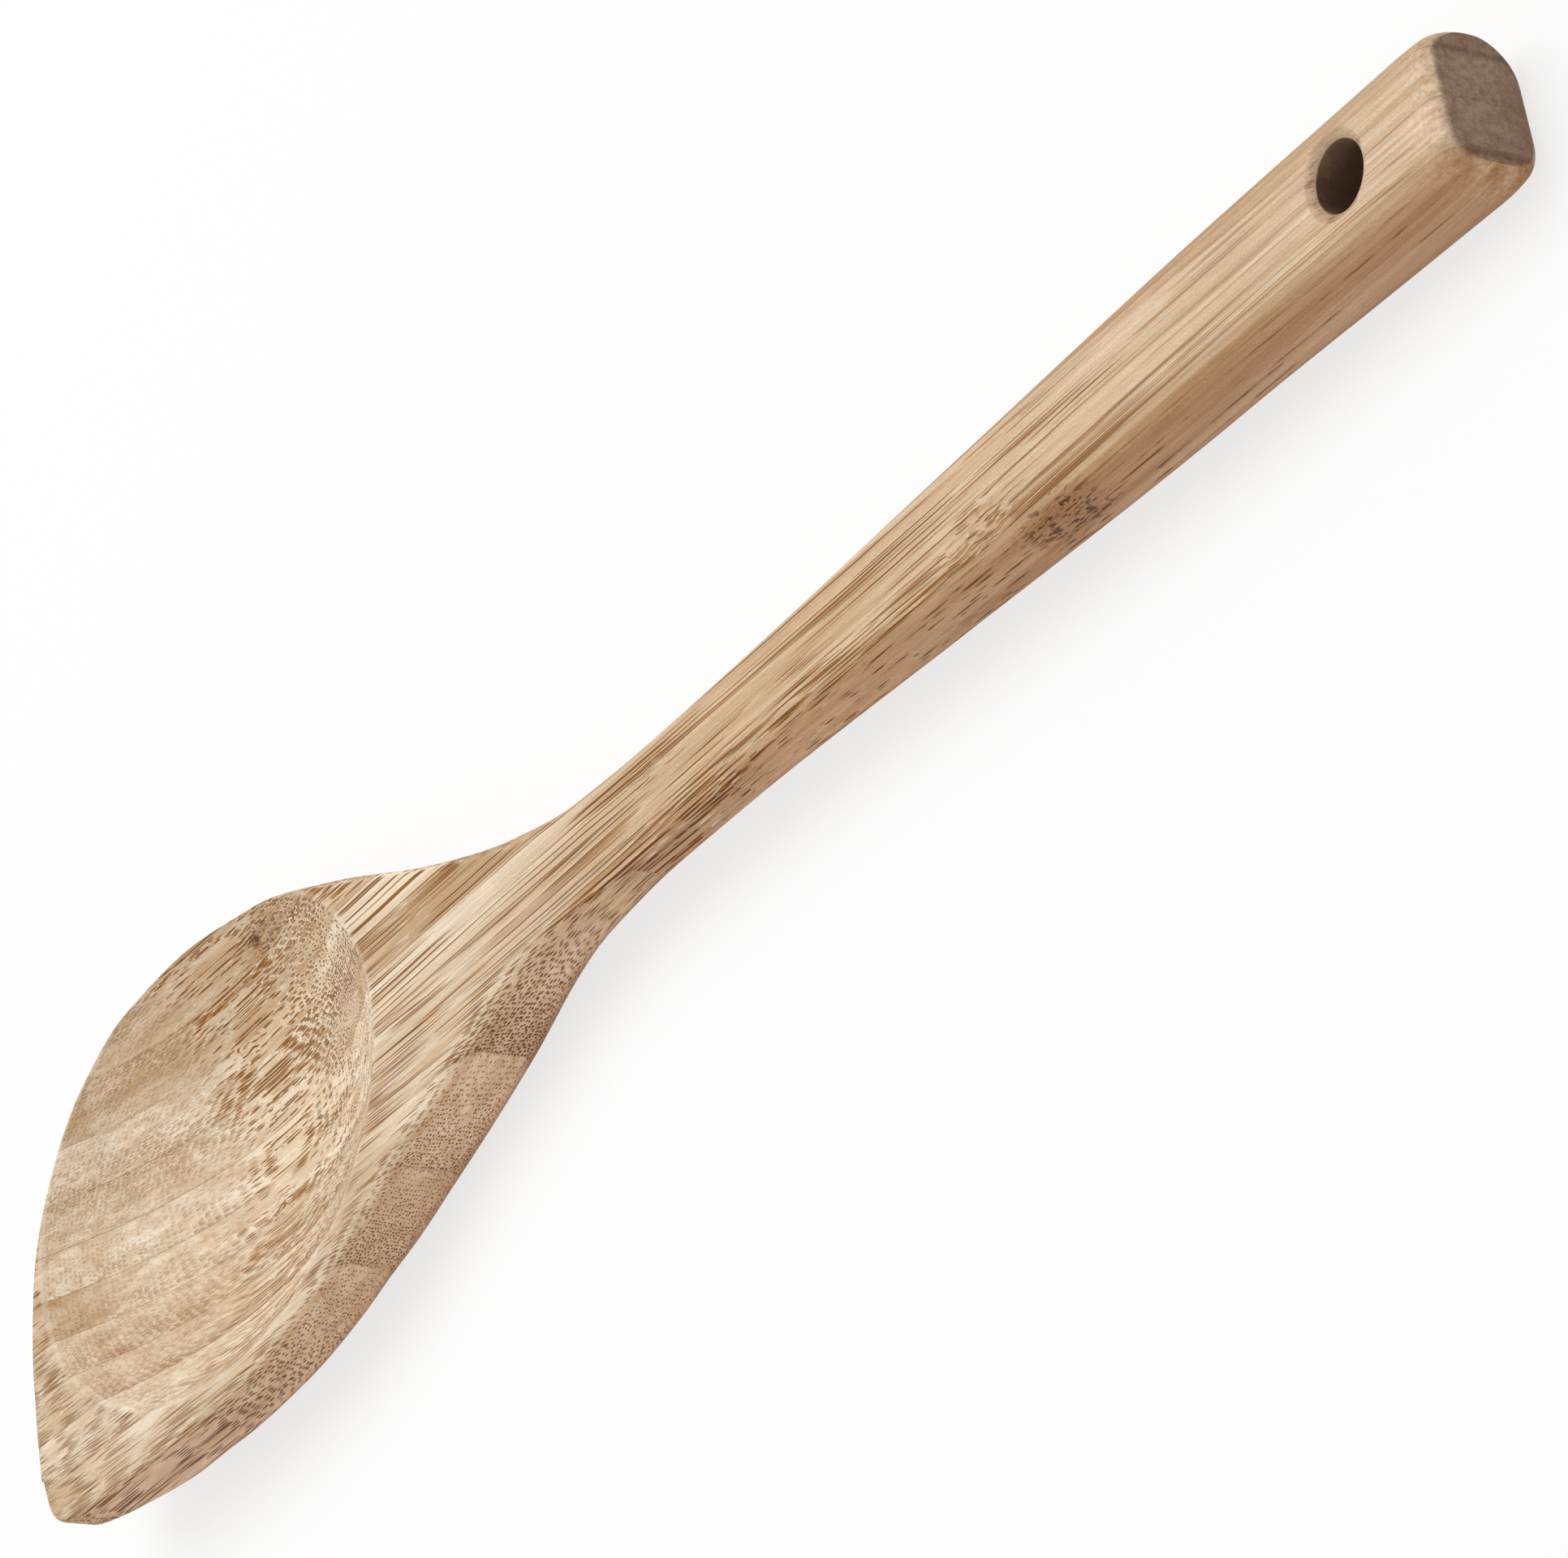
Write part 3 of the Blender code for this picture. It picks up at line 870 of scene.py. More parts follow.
# Ranges across a bundle from one side to the other, then how much of the sheath or halo is left: the sheath
# as painted shade on one side, the halo as a painted highlight on the other
SHEATH_SHADE_SIDE = (-0.9, 0.5, 0.35, 1.0)
HALO_HIGHLIGHT_SIDE = (0.7, -0.7, 0.35, 1.0)


def bundle_cells(strip):
    """Cells across the strip with a bundle in each: how far out a point is, which side, and its chances."""
    tree, look = strip.tree, strip.look
    across_pitch, hollow_pitch, handle_pitch = look["pitch"]
    across, height = fibre_place(strip)
    depth = maths(tree, "DIVIDE", maths(tree, "SUBTRACT", across, strip.joint * STRIP), STRIP)
    if look["outward"] < 0:
        depth = maths(tree, "SUBTRACT", 1.0, depth)
    crowd = maths(tree, "MULTIPLY_ADD", depth, CROWDING, 1.0)
    row = product(tree, depth, crowd, STRIP / across_pitch)
    through = between(tree, strip.x, *HOLLOW_TO_SHOULDER, hollow_pitch, handle_pitch)
    below = maths(tree, "SUBTRACT", height, HANDLE_TOP)
    column = maths(tree, "ADD", maths(tree, "DIVIDE", below, through), strip.seed * SEED_COLUMNS)
    spot = together(tree, row, column)
    cells = tree.nodes.new("ShaderNodeTexVoronoi")
    cells.voronoi_dimensions = "2D"
    cells.inputs["Scale"].default_value = 1.0
    cells.inputs["Randomness"].default_value = CELL_DISORDER
    feed(tree, cells.inputs["Vector"], spot)
    chance = apart(tree, cells.outputs["Color"])
    radius = between(tree, strip.hollow, 0.0, 1.0, look["bundle"], HOLLOW_BUNDLE)
    radius = product(tree, radius, maths(tree, "MULTIPLY_ADD", chance[0], *OWN_RADIUS))
    radius = product(tree, radius, maths(tree, "MULTIPLY_ADD", depth, *OUTER_RADIUS))
    share = maths(tree, "DIVIDE", cells.outputs["Distance"], product(tree, radius, BUNDLE_REACH))
    offset = vectors(tree, "SUBTRACT", spot, cells.outputs["Position"])
    heavy_shaded_side = (HEAVY_AND_SHADED_SIDE[0] * look["outward"], HEAVY_AND_SHADED_SIDE[1], 0.0)
    side = maths(tree, "DIVIDE", vectors(tree, "DOT_PRODUCT", offset, heavy_shaded_side), cells.outputs["Distance"])
    return depth, share, side, chance


def bundle_parts(strip, share, side):
    """How much core, sheath and halo there is, the sheath heavier on one side, as painted shade, and the
    halo on the other, as a painted highlight.
    """
    tree = strip.tree
    parts = tree.nodes.new("ShaderNodeSeparateColor")
    feed(tree, parts.inputs[0], ramped(tree, share, BUNDLE))
    core, sheath, halo = parts.outputs
    sheath = product(tree, sheath, between(tree, side, *SHEATH_SHADE_SIDE))
    halo = product(tree, halo, between(tree, side, *HALO_HIGHLIGHT_SIDE))
    return core, sheath, halo


print("bundle reach", BUNDLE_REACH)

# %% [markdown]
# ## How plainly a bundle shows
# On the real strips some bundles are bold and others faint or missing. A line fades along its length, breaks
# into strokes on the handle's sides and into dashes in the hollow, and is worn where hands hold the grip.
# Bundles of one strength would look like corduroy, so each takes its own chances from its cell, and ranges
# along the spoon say how likely and how strong the bundles are.

# %% How plainly a bundle shows
# A bundle's own place in a noise: so much per millimetre along it, and for each of its first two chances
OWN_PLACE = (0.03, 37.0, 53.0)
STROKES = ((7.0, 1.0, 1.0), 2.2, 1.0)
STROKE_LEVELS = (0.42, 0.56, -0.85, 0.9)
STROKES_FROM = (-30.0, 5.0)
DASHES = ((19.0, 1.0, 1.0), 3.3, 1.0)
DASH_LEVELS = (0.38, 0.54, -0.75, 0.4)
GOLD_DASHES = (0.0, 1.0, -0.35, 0.75)
CLUMPS = ((0.010, 0.75, 0.55), 6.1, 1.0)
SWIRL_CROWD = 0.4
FEWER_ON_HANDLE = (20.0, 90.0, 0.0, 0.22)
NECK_FROM = (-60.0, -35.0)
NECK_TO = (40.0, 5.0, 0.0, 0.35)
SOFT_CHANCE = 0.12
FADES = ((1.0, 1.0, 1.0), 0.0, 1.0)
FADE_LEVELS = (0.30, 0.50, 0.3, 1.0)
CALM_FROM = (-100.0, -116.0)
CALMED = 0.70
GRIP_WEAR = (55.0, 112.0, 0.0, 0.5)
BUTT_WEAR = (141.0, 147.0, 0.0, 0.35)
PLAIN = (30.0, 90.0, 1.5, 1.05)
OWN_STRENGTH = (0.3, 0.8)
OUTER_STRENGTH = (0.0, 1.0, 0.6, 1.15)


def short_strokes(strip, own):
    """Breaks lines on the handle's sides into strokes and those in the hollow into dashes, as a factor."""
    tree = strip.tree
    strokes = between(tree, noise(strip, STROKES, own), *STROKE_LEVELS)
    on_side = product(tree, strip.sideways, between(tree, strip.x, *STROKES_FROM))
    dashes = between(tree, noise(strip, DASHES, own), *DASH_LEVELS)
    dashes = maths(tree, "ADD", dashes, between(tree, strip.golden, *GOLD_DASHES))
    broken = maths(tree, "MULTIPLY_ADD", strokes, on_side, 1.0)
    return maths(tree, "MULTIPLY_ADD", dashes, strip.middle, broken)


def bundle_presence(strip, chance):
    """Whether a bundle shows at all: in clumps, and more of them in a knot and on the neck's sides."""
    tree, x = strip.tree, strip.x
    clump = maths(tree, "SUBTRACT", noise(strip, CLUMPS), 0.5)
    likely = maths(tree, "MULTIPLY_ADD", clump, strip.look["clumps"], along_strip(strip, "presence"))
    likely = maths(tree, "MULTIPLY_ADD", strip.swirl, SWIRL_CROWD, likely)
    likely = maths(tree, "SUBTRACT", likely, between(tree, x, *FEWER_ON_HANDLE))
    neck = product(tree, between(tree, x, *NECK_FROM), between(tree, x, *NECK_TO))
    likely = maths(tree, "MULTIPLY_ADD", neck, strip.sideways, likely)
    return between(tree, maths(tree, "SUBTRACT", chance, likely), SOFT_CHANCE, -SOFT_CHANCE)


def bundle_strength(strip, chance, depth):
    """How plainly a bundle shows: fading along its length, weak where the wood is calm or worn."""
    tree, x = strip.tree, strip.x
    own_x, own_y, own_z = OWN_PLACE
    own = together(
        tree, product(tree, x, own_x), product(tree, chance[0], own_y), product(tree, chance[1], own_z)
    )
    fade = between(tree, noise(strip, FADES, own), *FADE_LEVELS)
    calm = product(tree, between(tree, x, *CALM_FROM), strip.dished)
    worn = maths(tree, "ADD", between(tree, x, *GRIP_WEAR), between(tree, x, *BUTT_WEAR))
    return product(
        tree, bundle_presence(strip, chance[1]), fade, strip.look["contrast"], between(tree, x, *PLAIN),
        short_strokes(strip, own), maths(tree, "MULTIPLY_ADD", chance[2], *OWN_STRENGTH),
        between(tree, depth, *OUTER_STRENGTH), maths(tree, "MULTIPLY_ADD", calm, -CALMED, 1.0),
        maths(tree, "SUBTRACT", 1.0, worn),
    )


print("lines on the grip keep", 1 - GRIP_WEAR[3], "of their strength")

# %% [markdown]
# ## Colour of a strip
# The ground is pith between tan and cream, in slow bands, with hair-fine fibres and specks, and with golden
# patches in the hollow. The bundles are laid over it as lines, rings or pores. One image could hold all of
# that, but not at a size where single fibres stay sharp, so each is a small layer of nodes instead.

# %% Colour of the pith and the bundles
TONES = ((0.018, 0.45, 0.45), 9.0, 2.0)
TONE_LEVELS = (0.32, 0.68, -0.16, 0.16)
OUTER_TONE = (0.55, 1.0, 0.0, 0.11)
SOFT_PATCHES = ((0.16, 0.26, 0.26), 5.5, 3.0)
SOFT_LEVELS = (0.35, 0.65, -0.13, 0.13)
SOFT_FROM = (-95.0, -112.0)
GOLD_TONE = (0.0, 1.0, 0.16, -0.10)
GOLD_TINT = (0.98, 0.92, 0.83, 1)
BANDS = ((0.013, 1.1, 1.1), 4.4, 2.0)
BAND_LEVELS = (0.62, 0.32)
BAND_TINT = (0.85, 0.77, 0.68, 1)
HAIRS = ((0.22, 7.5, 7.5), 1.3, 2.0)
HAIR_LEVELS = (0.25, 0.75, 0.88, 1.10)
SPECKS = ((5.0, 6.0, 6.0), 2.9, 2.0)
SPECK_LEVELS = (0.25, 0.75, 0.89, 1.10)
RING_SLOPE = (0.06, 0.26)
RING_GLOW = (0.0, 1.0, 0.35, 0.75)
HANDLE_GLOW = (0.0, 60.0, 1.0, 0.5)
PORE_DULL = 0.2
PORE_THIN = 0.35


def tinted(strip, colour, share, tint):
    """Multiplies a colour by a tint, as far as the share says."""
    return mixed(strip.tree, share, colour, mixed(strip.tree, 1.0, colour, tint, "MULTIPLY"))


def scaled(strip, colour, factor):
    """Makes a colour lighter or darker by a factor."""
    return mixed(strip.tree, 1.0, colour, together(strip.tree, factor, factor, factor), "MULTIPLY")


def pith(strip, depth):
    """The ground colour, in slow bands along the strip."""
    tree = strip.tree
    pale = maths(tree, "ADD", between(tree, noise(strip, TONES), *TONE_LEVELS), along_strip(strip, "pale"))
    pale = maths(tree, "SUBTRACT", pale, between(tree, depth, *OUTER_TONE))
    soft = between(tree, noise(strip, SOFT_PATCHES), *SOFT_LEVELS)
    pale = maths(tree, "MULTIPLY_ADD", soft, between(tree, strip.x, *SOFT_FROM), pale)
    pale = maths(tree, "ADD", pale, product(tree, strip.middle, between(tree, strip.golden, *GOLD_TONE)))
    colour = mixed(tree, pale, TAN, CREAM)
    colour = tinted(strip, colour, product(tree, strip.middle, strip.golden), GOLD_TINT)
    return tinted(strip, colour, between(tree, noise(strip, BANDS), *BAND_LEVELS), BAND_TINT)


def fine_grain(strip):
    """Hair-fine fibres and specks, as a factor about 1."""
    hairs = between(strip.tree, noise(strip, HAIRS), *HAIR_LEVELS)
    specks = between(strip.tree, noise(strip, SPECKS), *SPECK_LEVELS)
    return product(strip.tree, hairs, specks)


def lay_bundles(strip, colour, parts, strength):
    """Halo, core and sheath over the pith: lines along the fibres, rings across them, pores on a side."""
    tree = strip.tree
    core, sheath, halo = parts
    pores = product(tree, strip.sideways, strip.look["pores"])
    ringed = between(tree, maths(tree, "ABSOLUTE", strip.facing[0]), *RING_SLOPE)
    ringed = product(tree, ringed, strip.hollow)
    glow = maths(tree, "SUBTRACT", between(tree, ringed, *RING_GLOW), product(tree, pores, PORE_DULL))
    glow = product(tree, glow, between(tree, strip.x, *HANDLE_GLOW))
    # The pale halo round a bundle, brightest on one side as a painted highlight
    colour = mixed(tree, product(tree, halo, strength, glow), colour, HALO)
    # Heart of a bundle: a dark line, partly painted shade in its groove, a golden core, or a pore with
    # painted shade
    heart = mixed(tree, pores, mixed(tree, ringed, LINE, CORE), PORE)
    colour = mixed(tree, product(tree, core, strength), colour, heart)
    thin = product(tree, strength, maths(tree, "MULTIPLY_ADD", pores, -PORE_THIN, 1.0))
    wall = mixed(tree, pores, mixed(tree, ringed, FLANK, RING), PORE_EDGE)
    return mixed(tree, product(tree, sheath, thin), colour, wall)


print("ground from", TAN[:3], "to", CREAM[:3])

# %% [markdown]
# ## Marks of growth and use
# A knot is a brown patch with dark torn spots, and one of them has the dark eye of a broken twig. The sides
# are browner than the top and carry painted shade as well, the rounded edges beside the top and the underside
# get painted shade, the sides grow a little darker towards the butt, and the sawn butt is rough and grey.
# Painted vertex colours would need a finer mesh than the shape does, so each tone is a tint over a range of
# places, or of directions that the surface faces.

# %% Marks of growth and use
KNOT_TINT = (0.76, 0.64, 0.52, 1)
KNOT_BROWNING = 0.6
TORN_SPOTS = ((0.8, 2.0, 2.0), 6.6, 1.0)
TORN_LEVELS = (0.56, 0.64, 0.0, 0.85)
RAGGED = ((1.2, 1.6, 1.6), 7.7, 2.0)
RAGGED_LEVELS = (0.38, 0.56, 0.35, 1.0)
# The sides: a browner colour, partly real and partly painted shade
SIDE_BROWN_AND_SHADE_TINT = (1.08, 0.935, 0.845, 1)
# Painted shade on the rounded edge between the top and an outer side, mostly on the near strips
RIDGE_SHADE_TINT = (0.92, 0.86, 0.81, 1)
RIDGE_SHADE_FROM = (0.3, 0.6)
RIDGE_SHADE_TO = (0.97, 0.8)
# Painted shade on faces that turn downwards, darker and redder towards the bottom
UNDERSIDE_SHADE_TINT = (0.84, 0.74, 0.68, 1)
FACING_DOWN = (0.05, -0.45)
HANDLE_TINT = (0.95, 0.875, 0.785, 1)
HANDLE_FROM = (-40.0, 25.0)
GRIP_TINT = (1.03, 1.06, 1.14, 1)
GRIP_FROM = (30.0, 120.0)
NECK_TINT = (1.08, 1.14, 1.20, 1)
NECK_TINT_FROM = (-50.0, -25.0)
NECK_TINT_TO = (50.0, 15.0)
# The sides grow a little darker towards the butt
SIDE_DARKER_TINT = (0.89, 0.90, 0.91, 1)
SIDE_DARKER_FROM = (15.0, 60.0)
MOTTLE = ((1.5, 1.5, 1.5), 8.2, 3.0)
MOTTLE_LEVELS = (0.3, 0.7, -0.14, 0.14)
MOTTLE_FROM = (143.0, 148.5)
BUTT_TINT = (0.45, 0.405, 0.42, 1)


def lay_knots(strip, colour):
    """Browned patches with dark torn spots, and a dark eye where a twig broke off."""
    if not strip.look.get("knots"):
        return colour
    tree = strip.tree
    colour = tinted(strip, colour, product(tree, strip.torn, KNOT_BROWNING), KNOT_TINT)
    spots = between(tree, noise(strip, TORN_SPOTS), *TORN_LEVELS)
    colour = mixed(tree, product(tree, spots, strip.torn), colour, KNOT)
    ragged = between(tree, noise(strip, RAGGED), *RAGGED_LEVELS)
    return mixed(tree, product(tree, strip.eye, ragged), colour, PORE)


def lay_use(strip, colour):
    """Browner sides with painted shade, painted shade on the rounded edges and the underside, the tones of
    the neck and the handle, sides darker towards the butt, and the rough butt.
    """
    tree, x = strip.tree, strip.x
    # Sides facing outwards: a browner colour and some painted shade
    colour = tinted(strip, colour, strip.sideways, SIDE_BROWN_AND_SHADE_TINT)
    # Painted shade where the edge turns from the top down to the side
    ridge_shade = product(tree, between(tree, strip.steep, *RIDGE_SHADE_FROM), between(tree, strip.steep, *RIDGE_SHADE_TO))
    colour = tinted(strip, colour, product(tree, ridge_shade, strip.look["pores"]), RIDGE_SHADE_TINT)
    # Painted shade where the surface faces down
    colour = tinted(strip, colour, between(tree, strip.facing[2], *FACING_DOWN), UNDERSIDE_SHADE_TINT)
    colour = tinted(strip, colour, between(tree, x, *HANDLE_FROM), HANDLE_TINT)
    colour = tinted(strip, colour, between(tree, x, *GRIP_FROM), GRIP_TINT)
    neck = product(tree, between(tree, x, *NECK_TINT_FROM), between(tree, x, *NECK_TINT_TO))
    colour = tinted(strip, colour, product(tree, strip.sideways, neck), NECK_TINT)
    # Sides a little darker towards the butt
    darker_side = product(tree, strip.sideways, between(tree, x, *SIDE_DARKER_FROM))
    colour = tinted(strip, colour, darker_side, SIDE_DARKER_TINT)
    mottle = between(tree, noise(strip, MOTTLE), *MOTTLE_LEVELS)
    rough = maths(tree, "MULTIPLY_ADD", mottle, between(tree, x, *MOTTLE_FROM), 1.0)
    return tinted(strip, scaled(strip, colour, rough), strip.endways, BUTT_TINT)


print("torn spots show in a knot from noise", TORN_LEVELS[0])

# %% [markdown]
# ## Marks of making
# The last marks follow the maker's own lines: a thin dark film of glue at every joint, broad dark bands on
# the butt, the rim of the hollow, which is rubbed pale and also carries a painted highlight, and the hole,
# whose wall the drill has scorched and which painted shade darkens further down. A curve laid along each of
# them could carry its colour, but the distance from the joint, the rim or the hole's axis is known at every
# point and draws them exactly.

# %% Marks of making
# The rim of the hollow: pale from wear and a painted highlight, over this range of the dish's height
RIM_RUBBED_AND_HIGHLIGHT = (0.45, 0.05, 0.0, 0.2)
GLUE_TINT = (0.5, 0.42, 0.36, 1)
GLUE_LINE = (0.16, 0.03)
BUTT_BAND = (0.8, 0.1, 0.0, 0.5)
HOLE_TINT = (0.86, 0.82, 0.79, 1)
HOLE_RIM = (HOLE_RADIUS + 1.2 * RIM_WIDTH, HOLE_RADIUS + 0.9 * RIM_WIDTH)
HOLE_WALL = (HOLE_RADIUS + 0.10, HOLE_RADIUS + 0.02)
# Heights in the bore over which the darkening grows, partly scorch and partly painted shade
SCORCH_AND_SHADE = (HANDLE_TOP - 0.5, HANDLE_TOP - 5.0, 0.6, 0.95)


def lay_rim(strip, colour):
    """The rim of the hollow, worn pale by hands and pans, with a painted highlight along it."""
    # Worn pale and painted highlight along the rim
    rim_rub_and_highlight = between(strip.tree, maths(strip.tree, "ABSOLUTE", strip.gap), *RIM_RUBBED_AND_HIGHLIGHT)
    return mixed(strip.tree, rim_rub_and_highlight, colour, HALO)


def lay_glue(strip, colour):
    """The thin line of glue at each joint, and the broad dark bands beside the outer joints on the butt."""
    tree = strip.tree
    edge = maths(tree, "PINGPONG", maths(tree, "SUBTRACT", strip.y, strip.joint * STRIP), STRIP / 2)
    not_butt = maths(tree, "SUBTRACT", 1.0, strip.endways)
    line = product(tree, between(tree, edge, *GLUE_LINE), strip.look["glue"], not_butt)
    outer = maths(tree, "ABSOLUTE", maths(tree, "SUBTRACT", maths(tree, "ABSOLUTE", strip.y), STRIP))
    band = product(tree, between(tree, outer, *BUTT_BAND), strip.endways)
    return tinted(strip, colour, maths(tree, "MAXIMUM", line, band), GLUE_TINT)


def lay_hole(strip, colour):
    """The hole's worn rim, and its bore, burnt by the drill and with painted shade deeper down."""
    tree = strip.tree
    away = vectors(tree, "DISTANCE", together(tree, strip.x, strip.y), (HOLE_X, HOLE_Y, 0.0))
    colour = tinted(strip, colour, between(tree, away, *HOLE_RIM), HOLE_TINT)
    # Scorch and painted shade, darker deeper in the bore
    scorched_and_shaded = product(tree, between(tree, away, *HOLE_WALL), between(tree, strip.z, *SCORCH_AND_SHADE))
    return mixed(tree, scorched_and_shaded, colour, BURN_AND_SHADE)


print("rim of the hole in mm", round(RIM_WIDTH, 2))

# %% [markdown]
# ## Surface of a strip
# Oiled bamboo has a low satin sheen. The pith wears smooth, while the torn sheaths stay rougher and lie a
# little lower, which a finger feels as fine ridges. Displaced geometry would show them too, but it would
# take millions of faces for ridges of a tenth of a millimetre, so they are a bump.

# %% Bamboo of one strip
SMOOTH_PITH = 0.52
ROUGH_SHEATH = 0.14
SHEEN_LEVEL = 0.16
GROOVE = 0.10
GROOVE_STRENGTH = 0.6
CORE_WORN = 0.6
HALO_LIFT = 0.4
HAIR_LIFT = 1.5


def grooves(strip, parts, strength, grain):
    """Bump: the sheaths and cores are worn lower than the pith, and the hairs stand up a little."""
    tree = strip.tree
    core, sheath, halo = parts
    worn = maths(tree, "MULTIPLY_ADD", core, CORE_WORN, sheath)
    lift = product(tree, maths(tree, "SUBTRACT", product(tree, halo, HALO_LIFT), worn), strength)
    bump = tree.nodes.new("ShaderNodeBump")
    bump.inputs["Strength"].default_value = GROOVE_STRENGTH
    bump.inputs["Distance"].default_value = GROOVE * MM
    feed(tree, bump.inputs["Height"], maths(tree, "MULTIPLY_ADD", grain, HAIR_LIFT, lift))
    return bump.outputs[0]


def bamboo(name, joint, look, seed):
    """The finish of one strip."""
    material = bpy.data.materials.new(f"bamboo_{name}")
    material.use_nodes = True
    tree = material.node_tree
    shader = tree.nodes["Principled BSDF"]
    strip = strip_point(tree, joint, look, seed)
    depth, share, side, chance = bundle_cells(strip)
    parts = bundle_parts(strip, share, side)
    strength = bundle_strength(strip, chance, depth)
    grain = fine_grain(strip)
    colour = scaled(strip, pith(strip, depth), grain)
    colour = lay_bundles(strip, colour, parts, strength)
    colour = lay_rim(strip, lay_knots(strip, colour))
    colour = lay_glue(strip, lay_use(strip, colour))
    if name in DRILLED:
        colour = lay_hole(strip, colour)
    rough = maths(tree, "MULTIPLY_ADD", product(tree, parts[1], strength), ROUGH_SHEATH, SMOOTH_PITH)
    feed(tree, shader.inputs["Base Color"], colour)
    feed(tree, shader.inputs["Roughness"], rough)
    feed(tree, shader.inputs["Normal"], grooves(strip, parts, strength, grain))
    shader.inputs["Specular IOR Level"].default_value = SHEEN_LEVEL
    return material


print("sheen", SHEEN_LEVEL, "roughness from", SMOOTH_PITH)

# %% [markdown]
# ## Looks of the twelve strips
# Every strip comes from another stalk, so each has its own tone, spacing and strength. One material with
# random values per object would be quicker, but these strips are meant to look like particular ones, so
# their values stand in a table.
# - pale: tone of the pith from tan at 0 to cream at 1, plain or at places along the spoon
# - pitch: distance between bundles in mm, across the strip, through it at the hollow and through it at
#   the handle
# - bundle: radius of a bundle as a share of that distance
# - presence, clumps: how many bundles show, plain or at places along the spoon, and how much they gather
# - contrast, pores, glue: strength of the bundles, of the dark pores on a side and of the glue line
# - runout: how far the fibres climb for each millimetre along the spoon
# - outward: 1 where the outside of the stalk faces the far side, -1 where it faces the near side
# - knots: their middle and reach in mm, and how much they swirl the fibres, tear them or show a dark eye

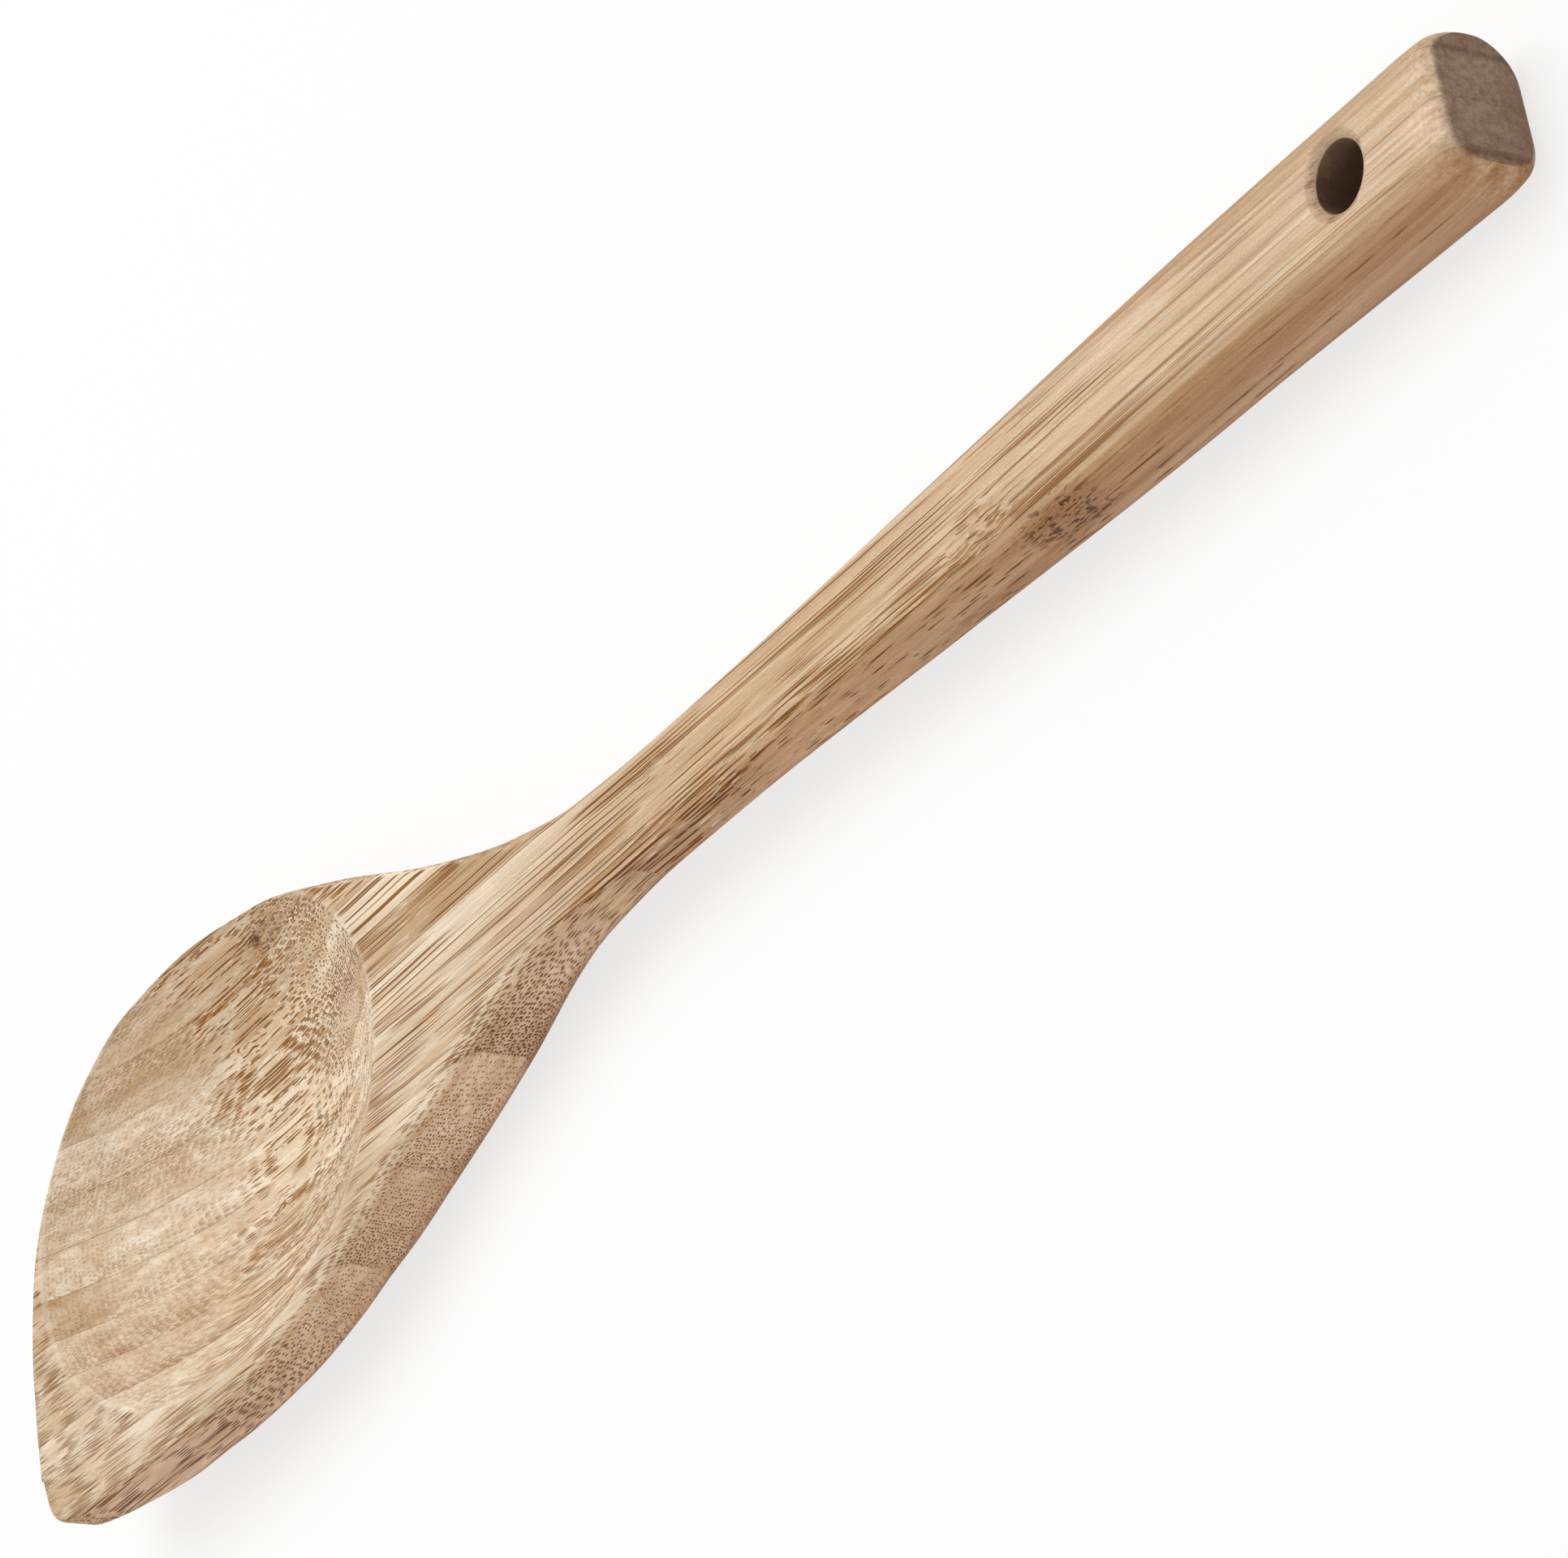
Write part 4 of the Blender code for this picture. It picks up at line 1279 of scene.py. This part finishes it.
# %% Looks of the twelve strips
SEED_STEP = 7.3
FAR_STRIP = dict(bundle=0.37, clumps=1.8, contrast=1.35, outward=1)
MIDDLE_STRIP = dict(bundle=0.36, clumps=2.8, contrast=1.3, outward=-1)
NEAR_STRIP = dict(
    pitch=(0.32, 0.42, 0.42), bundle=0.25, presence=1.0, clumps=2.6, contrast=1.35, pores=1.0, outward=-1,
    glue=0.2,
)
TWIG = (-90.5, 25.7, 10.4)
LOOKS = {
    "far_rim_strip": dict(
        FAR_STRIP, pale=((-125.0, 0.40), (-100.0, 0.26), (-84.0, 0.02)), pitch=(0.55, 0.34, 0.52),
        presence=((-100.0, 0.85), (-84.0, 1.3)), pores=0.3, runout=0.012, glue=0.1,
        knots=[
            dict(centre=TWIG, reach=(4.0, 2.6, 3.0), swirl=1.5, torn=0.9),
            dict(centre=TWIG, reach=(1.7, 1.1, 1.6), eye=0.95),
            dict(centre=(-86.0, 25.0, 10.6), reach=(9.0, 4.0, 5.0), torn=0.75),
        ],
    ),
    "far_outer_strip": dict(
        FAR_STRIP, pale=((-125.0, 0.33), (-104.0, 0.22), (-80.0, 0.20), (-55.0, 0.42)),
        pitch=(0.55, 0.34, 0.52), presence=0.85, pores=0.1, runout=-0.014, glue=0.15,
    ),
    "far_bowl_strip": dict(
        FAR_STRIP, pale=((-125.0, 0.78), (-102.0, 0.64), (-80.0, 0.68), (-55.0, 1.0)),
        pitch=(0.55, 0.33, 0.54), presence=((-80.0, 0.90), (-60.0, 0.52)), pores=0.0, runout=0.010,
        outward=-1, glue=0.2,
        knots=[dict(centre=(-102.0, 17.2, 5.9), reach=(6.0, 3.0, 3.0), swirl=1.5)],
    ),
    "far_shoulder_strip": dict(
        FAR_STRIP, pale=((-145.0, 0.52), (-125.0, 0.50), (-102.0, 0.90), (-80.0, 0.34), (-50.0, 0.05)),
        pitch=(0.46, 0.32, 0.52), presence=((-80.0, 0.90), (-62.0, 0.60)), clumps=1.6, pores=0.0,
        runout=-0.010, glue=0.5,
    ),
    "far_handle_edge": dict(
        pale=0.26, pitch=(0.40, 0.60, 0.60), bundle=0.34, presence=0.65, clumps=2.2, contrast=0.9,
        pores=0.1, runout=0.010, outward=1, glue=0.2,
    ),
    "far_core_strip": dict(
        MIDDLE_STRIP, pitch=(0.42, 0.34, 0.56),
        pale=(
            (-145.0, 0.60), (-125.0, 0.80), (-100.0, 1.0), (-80.0, 0.82), (-50.0, 0.98), (0.0, 0.60),
            (120.0, 0.52),
        ),
        presence=((-70.0, 0.58), (-50.0, 0.46), (-20.0, 0.60)), pores=0.0, runout=-0.006, glue=0.4,
        knots=[dict(centre=(0.2, 1.5, 13.0), reach=(6.0, 2.0, 4.0), swirl=1.0, torn=0.2)],
    ),
    "near_core_strip": dict(
        MIDDLE_STRIP, pitch=(0.38, 0.36, 0.56),
        pale=(
            (-145.0, 0.10), (-125.0, 0.76), (-100.0, 0.58), (-80.0, 0.78), (-50.0, 0.55), (10.0, 0.40),
            (70.0, 0.54),
        ),
        presence=0.58, pores=0.4, runout=0.016, glue=0.3,
        knots=[
            dict(centre=(67.5, -3.4, 13.0), reach=(10.0, 4.5, 5.0), swirl=2.0, torn=0.25),
            dict(centre=(-103.1, -3.5, 3.7), reach=(6.0, 3.0, 3.0), swirl=1.5),
        ],
    ),
    "near_handle_edge": dict(
        pale=0.23, pitch=(0.30, 0.52, 0.52), bundle=0.32, presence=0.75, clumps=2.0, contrast=1.0,
        pores=0.6, runout=0.014, outward=-1, glue=0.15,
        knots=[dict(centre=(78.0, -7.8, 10.0), reach=(10.0, 4.2, 5.5), swirl=1.2, torn=1.3)],
    ),
    "near_shoulder_strip": dict(
        NEAR_STRIP, pale=((-125.0, 0.44), (-102.0, 0.48), (-80.0, 0.56), (-50.0, 0.52)), bundle=0.31,
        runout=-0.013,
    ),
    "near_bowl_strip": dict(
        NEAR_STRIP, pale=((-145.0, 0.28), (-125.0, 0.44), (-102.0, 0.58), (-80.0, 0.34), (-55.0, 0.80)),
        runout=0.012,
    ),
    "near_outer_strip": dict(
        NEAR_STRIP, pale=((-125.0, 0.70), (-100.0, 0.98), (-80.0, 0.56)), runout=-0.012,
    ),
    "near_rim_strip": dict(
        NEAR_STRIP, pale=((-146.0, 0.22), (-134.0, 0.62), (-90.0, 0.60)), runout=0.010,
    ),
}
for number, (name, joint, part) in enumerate(STRIPS):
    pieces[name].data.materials.append(bamboo(name, joint, LOOKS[name], SEED_STEP * (number + 1)))
print("finished strips", len(pieces))

# %% [markdown]
# ## Into the frame
# The spoon is rigid, so every strip rides on the same body. Each one stands for the plain solid of its own
# name, which stays as the shape that the physics feels. Two of the strips come from darker stalks.

# %% Pieces in the frame
for name, piece in pieces.items():
    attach(piece, "root")
    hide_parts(name)
print("strips in the frame", len(pieces))
